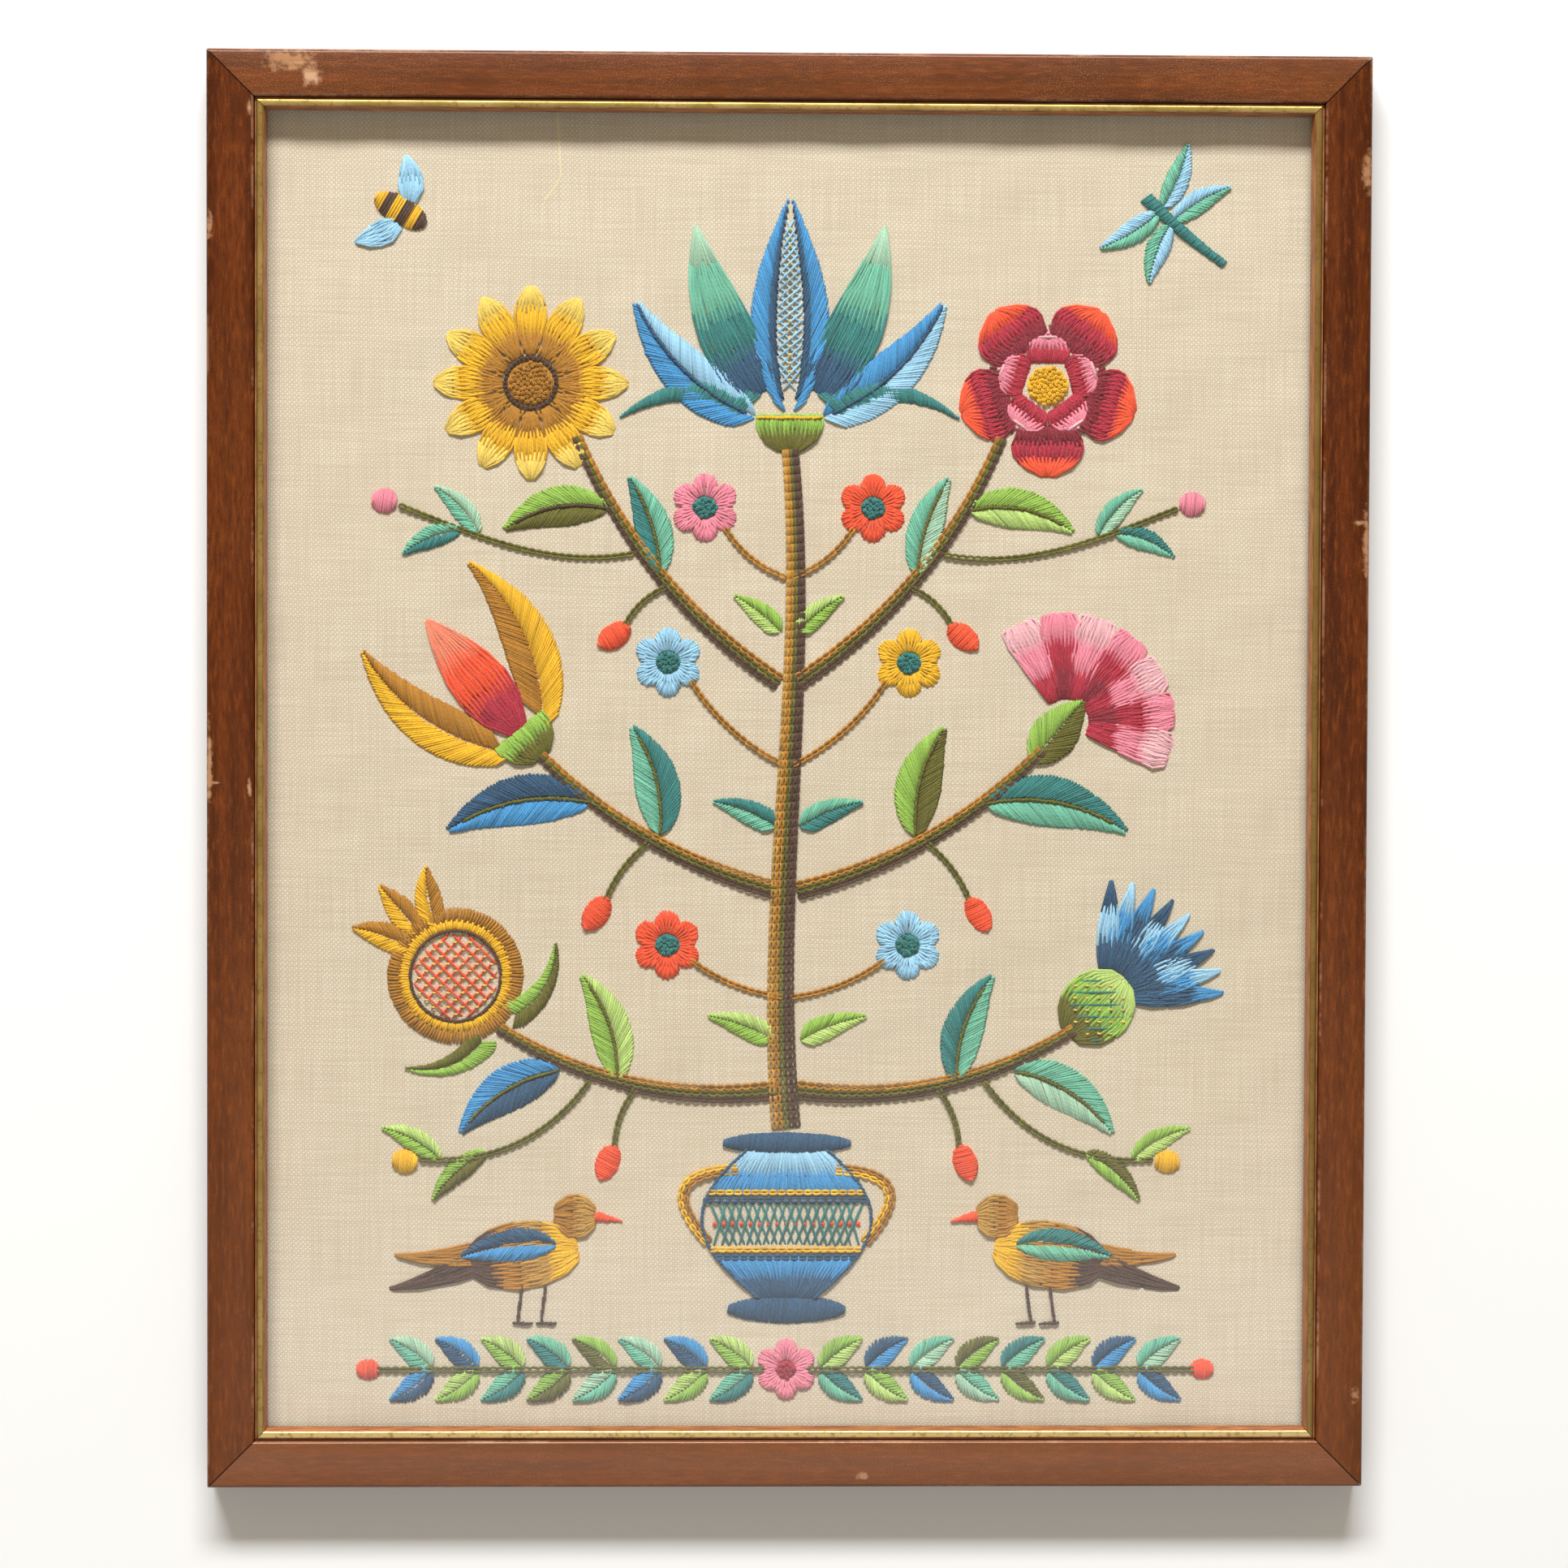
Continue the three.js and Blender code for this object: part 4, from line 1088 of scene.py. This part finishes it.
# The birds.
def bird(name, at, wing_dyes):
    wing = work(f"{name}_wing")
    b = Blade("leaf", 10 + 9j, -28 + 4j, 7, -3).placed(*at)
    wing.fishbone(b, *wing_dyes, start=0.03, lift=1.5)
    w = work(f"{name}_body")
    body = Blade("oval", -25 + 2j, 19 + 8j, 13).placed(*at)
    w.shaded(body, ["brown", "ochre", "fawn", "gold"], 0.02, 0.98)
    for b, dye in (
        (Blade("horn", -18 + 4j, -54 - 8j, 6, 2), "brown"),
        (Blade("horn", -18 + 6j, -52 + 5j, 5, 2), "ochre"),
    ):
        w.shaded(b.placed(*at), [dye, dye], 0.1, 1.0)
    w.shaded(disc(17, 20, 8.5).placed(*at), ["ochre", "fawn"], 0.02, 0.98, lift=1.0)
    w.satin(Blade("horn", 24 + 20j, 35 + 18j, 2.6).placed(*at), "coral", start=0.1, stop=0.96)
    eye = Blade("stem", 19 + 21.5j, 20 + 21.5j, 1).placed(*at)
    w.knots(np.array([eye.root]), "umber", size=0.5)
    for x in (-3, 6):
        w.rope(line(Blade("stem", x - 6j, x - 2 - 21j, 1.1).placed(*at)), "brown", step=1.6)
    for x in (-5, 4):
        w.rope(line(Blade("horn", x - 2 - 21j, x + 6 - 21.4j, 1.1).placed(*at)), "brown", step=1.6)


bird("bird_left", (-98, -190, 0, 1), ("sky", "navy"))
bird("bird_right", (98, -190, 180, -1), ("teal", "sea"))


# The garland along the foot.
def garland():
    y, reach, pairs, start, stride, lean, rise, half = -229, 160, 8, 13, 17.5, 17, 12, 5.2
    w = work("garland")
    greens = [("teal", "sea"), ("leaf", "lime"), ("navy", "sky"), ("sea", "mint"), ("olive", "leaf")]
    for outward in (1, -1):
        for i in range(pairs):
            x = outward * (start + i * stride)
            for up in (1, -1):
                tip = complex(x + outward * lean, y + up * rise)
                b = Blade("leaf", complex(x, y), tip, half, 2 * up * outward)
                w.fishbone(b, *greens[(i + (up > 0)) % len(greens)], start=0.1)
        w.satin(disc(outward * reach, y, 4.5), "coral", lift=1.0, start=0.07, stop=0.93)
    for hand in (1, -1):
        w.chain(hand * np.linspace(8, reach - 3, 100) + 1j * y, "olive", wide=1.3, link=3.1, lift=1.1)
    w.rays(1j * y, 3.2, lambda turn: 8.0 + 3.9 * np.abs(np.sin(3 * turn)) ** 0.65, "pink", 72)
    w.satin(disc(0, y, 3.8), "crimson", lift=0.7)
    w.seeds(1j * y, 3.8, "crimson", lift=0.6)


garland()


# Stems in rows of chain stitch, and sprigs.
BRANCHES = [
    {"root": 0 - 121j, "tip": 110 - 98j, "half": 3.8, "bow": -14, "tip_half": 2.2},
    {"root": 0 - 46j, "tip": 97 + 9j, "half": 3.6, "bow": -11, "tip_half": 2.0},
    {"root": 0 + 32j, "tip": 81 + 128j, "half": 3.4, "bow": -13, "tip_half": 2.0},
]
SPRIGS = [
    {"root": 0 - 86j, "tip": 38 - 71j, "bow": -4},
    {"root": 0 + 2j, "tip": 38 + 36j, "bow": -5},
    {"root": 0 + 74j, "tip": 25 + 94j, "bow": -4},
    {"root": 57 - 120j, "tip": 66 - 144j, "bow": 3},
    {"root": 52 - 26j, "tip": 70 - 50j, "bow": 3},
    {"root": 46 + 71j, "tip": 63 + 55j, "bow": 3},
    {"root": 74 - 116j, "tip": 142 - 148j, "bow": -15},
    {"root": 56 + 84j, "tip": 150 + 102j, "bow": -14, "bow_end": -6},
]
SMALL_LEAVES = [
    {"root": 0 - 106j, "tip": 32 - 93j, "half": 5, "bow": 3, "dyes": ("leaf", "lime")},
    {"root": 0 - 24j, "tip": 30 - 11j, "half": 5, "bow": 3, "dyes": ("sea", "teal")},
    {"root": 0 + 50j, "tip": 22 + 68j, "half": 4.5, "bow": 2, "dyes": ("lime", "leaf")},
    {"root": 114 - 145j, "tip": 136 - 165j, "half": 4.5, "bow": 3, "dyes": ("olive", "leaf")},
    {"root": 132 - 149j, "tip": 156 - 136j, "half": 4.5, "bow": 3, "dyes": ("leaf", "lime")},
    {"root": 124 + 92j, "tip": 148 + 82j, "half": 4.5, "bow": 3, "dyes": ("teal", "sea")},
    {"root": 118 + 90j, "tip": 136 + 109j, "half": 4.5, "bow": 3, "dyes": ("sea", "mint")},
]
BUDS = [
    {"x": 146, "y": -149, "radius": 5, "dye": "gold"},
    {"x": 154, "y": 103, "radius": 5, "dye": "pink"},
]
stems = work("stems")


def rows(blade, dyes, start, stop):
    """Rows of chain stitch side by side, right to left."""
    t = np.linspace(start, stop, 60)
    share = 2 / len(dyes)
    for i, dye in enumerate(dyes):
        q = -1 + share * (i + 0.5)
        stems.chain(blade.lane(q, t), dye, wide=blade.wide(t) * share * 0.54 + 0.1)


for mirror in (1, -1):
    for row in BRANCHES:
        b = Blade("stem", row["root"], row["tip"], row["half"], row["bow"], tip_half=row["tip_half"])
        rows(b.flipped(mirror), ["brown", "olive", "ochre"][::mirror], 0.03, 1.0)
    for i, row in enumerate(SPRIGS):
        b = Blade("stem", row["root"], row["tip"], 1.3, row["bow"], row.get("bow_end")).flipped(mirror)
        stems.chain(line(b, 0.0, 0.03, 0.98), "ochre" if i < 3 else "olive", wide=1.15, link=2.9)
    for row in SMALL_LEAVES:
        b = Blade("leaf", row["root"], row["tip"], row["half"], row["bow"]).flipped(mirror)
        inset = 0.24 if row["root"].real == 0 else 0.08
        stems.fishbone(b, *row["dyes"], start=inset)
    for row in BUDS:
        b = disc(mirror * row["x"], row["y"], row["radius"])
        stems.satin(b, row["dye"], slant=0.2, lift=1.0, start=0.07, stop=0.93)
trunk = Blade("stem", 0 - 139j, 0 + 126j, 5.5, 9, -9, 3)
rows(trunk, ["brown", "brown", "olive", "ochre", "fawn"], 0.01, 0.99)


# Insects.
def insects():
    at = (-148, 213, -30)
    w = work("bee")
    for s in (1, -1):
        w.shaded(Blade("leaf", 2 + 3j * s, -9 + 19j * s, 5, -2 * s).placed(*at), ["ice", "ice"], 0.05, 1.0)
    body = Blade("oval", -11 + 0j, 11 + 0j, 6).placed(*at)
    for i in range(6):
        start = 0.03 + i * 0.16
        w.satin(body, ("gold", "brown")[i % 2], start=start, stop=start + 0.14, pitch=0.7, lift=1.2)
    at = (146, 211, 140)
    w = work("dragonfly")
    for s in (1, -1):
        w.fishbone(Blade("leaf", 6 + 0j, 15 + 27j * s, 4.6, 2 * s).placed(*at), "sea", "ice", start=0.1)
        w.fishbone(Blade("leaf", 0 + 1j, -9 + 25j * s, 4.6, -2 * s).placed(*at), "ice", "sea", start=0.1)
    w.satin(Blade("stem", -26 + 0j, 14 + 0j, 1.8, 1, 1, 2.8).placed(*at), "teal", slant=0.4, lift=1.25)


insects()

wool = yarn_material()
for name, w in WORKS.items():
    piece(f"stitched_{name}", w.mesh(f"stitched_{name}"), [wool], [name])

# Floor, light and camera.
bpy.ops.mesh.primitive_plane_add(size=14, location=(0, 0, 0))
floor = bpy.context.object
floor.name = "floor"
floor.data.materials.append(floor_material())


def area_light(name, place, size, power, aim=(0.0, 0.0, 0.0), colour=(1.0, 1.0, 1.0)):
    lamp = bpy.data.lights.new(name, "AREA")
    lamp.shape = "RECTANGLE"
    lamp.size, lamp.size_y = size
    lamp.energy = power
    lamp.color = colour
    made = bpy.data.objects.new(name, lamp)
    bpy.context.scene.collection.objects.link(made)
    made.location = place
    made.rotation_euler = (Vector(aim) - Vector(place)).to_track_quat("-Z", "Y").to_euler()
    return made


KEY_COLOUR = (0.97, 0.985, 1.0)
WORLD_WARM = (1.0, 0.79, 0.43, 1.0)
WORLD_WHITE = (1.0, 1.0, 1.0, 1.0)
WORLD_STRENGTH, PATCH_STRENGTH = 0.28, 1.1
area_light("key", (-0.25, 2.85, 2.2), (2.2, 0.6), 194.0, colour=KEY_COLOUR)
area_light("fill", (0.0, -1.9, 1.7), (2.2, 1.2), 6.0)


def studio_world():
    """Even soft light, with a brighter patch overhead that the lower part of the glass mirrors."""
    g = Graph("studio", "World")
    _, y, z = g.split(g.add("TexCoord").outputs["Generated"])
    patch = g.math("MULTIPLY", g.step(y, -0.04, -0.2), PATCH_STRENGTH)
    sky = g.add("Background")
    g.put(sky.inputs["Strength"], g.math("MULTIPLY_ADD", patch, g.step(z, 0.9, 0.95), WORLD_STRENGTH))
    g.put(sky.inputs["Color"], g.mix(patch, WORLD_WARM, WORLD_WHITE))
    g.put(g.output.inputs[0], sky.outputs[0])
    bpy.context.scene.world = g.material


studio_world()

FOCAL_LENGTH = 95.77
CAMERA_PLACE = (-0.0419, 0.0456, 1.6)
CAMERA_TURN_DEG = (-1.801, -1.443, 0.21)
lens = bpy.data.cameras.new("camera")
lens.lens = FOCAL_LENGTH
lens.sensor_width = 36.0
lens.clip_start, lens.clip_end = 0.05, 50.0
camera = bpy.data.objects.new("camera", lens)
bpy.context.scene.collection.objects.link(camera)
camera.location = CAMERA_PLACE
camera.rotation_euler = [math.radians(a) for a in CAMERA_TURN_DEG]
bpy.context.scene.camera = camera
bpy.context.scene.view_settings.view_transform = "Standard"
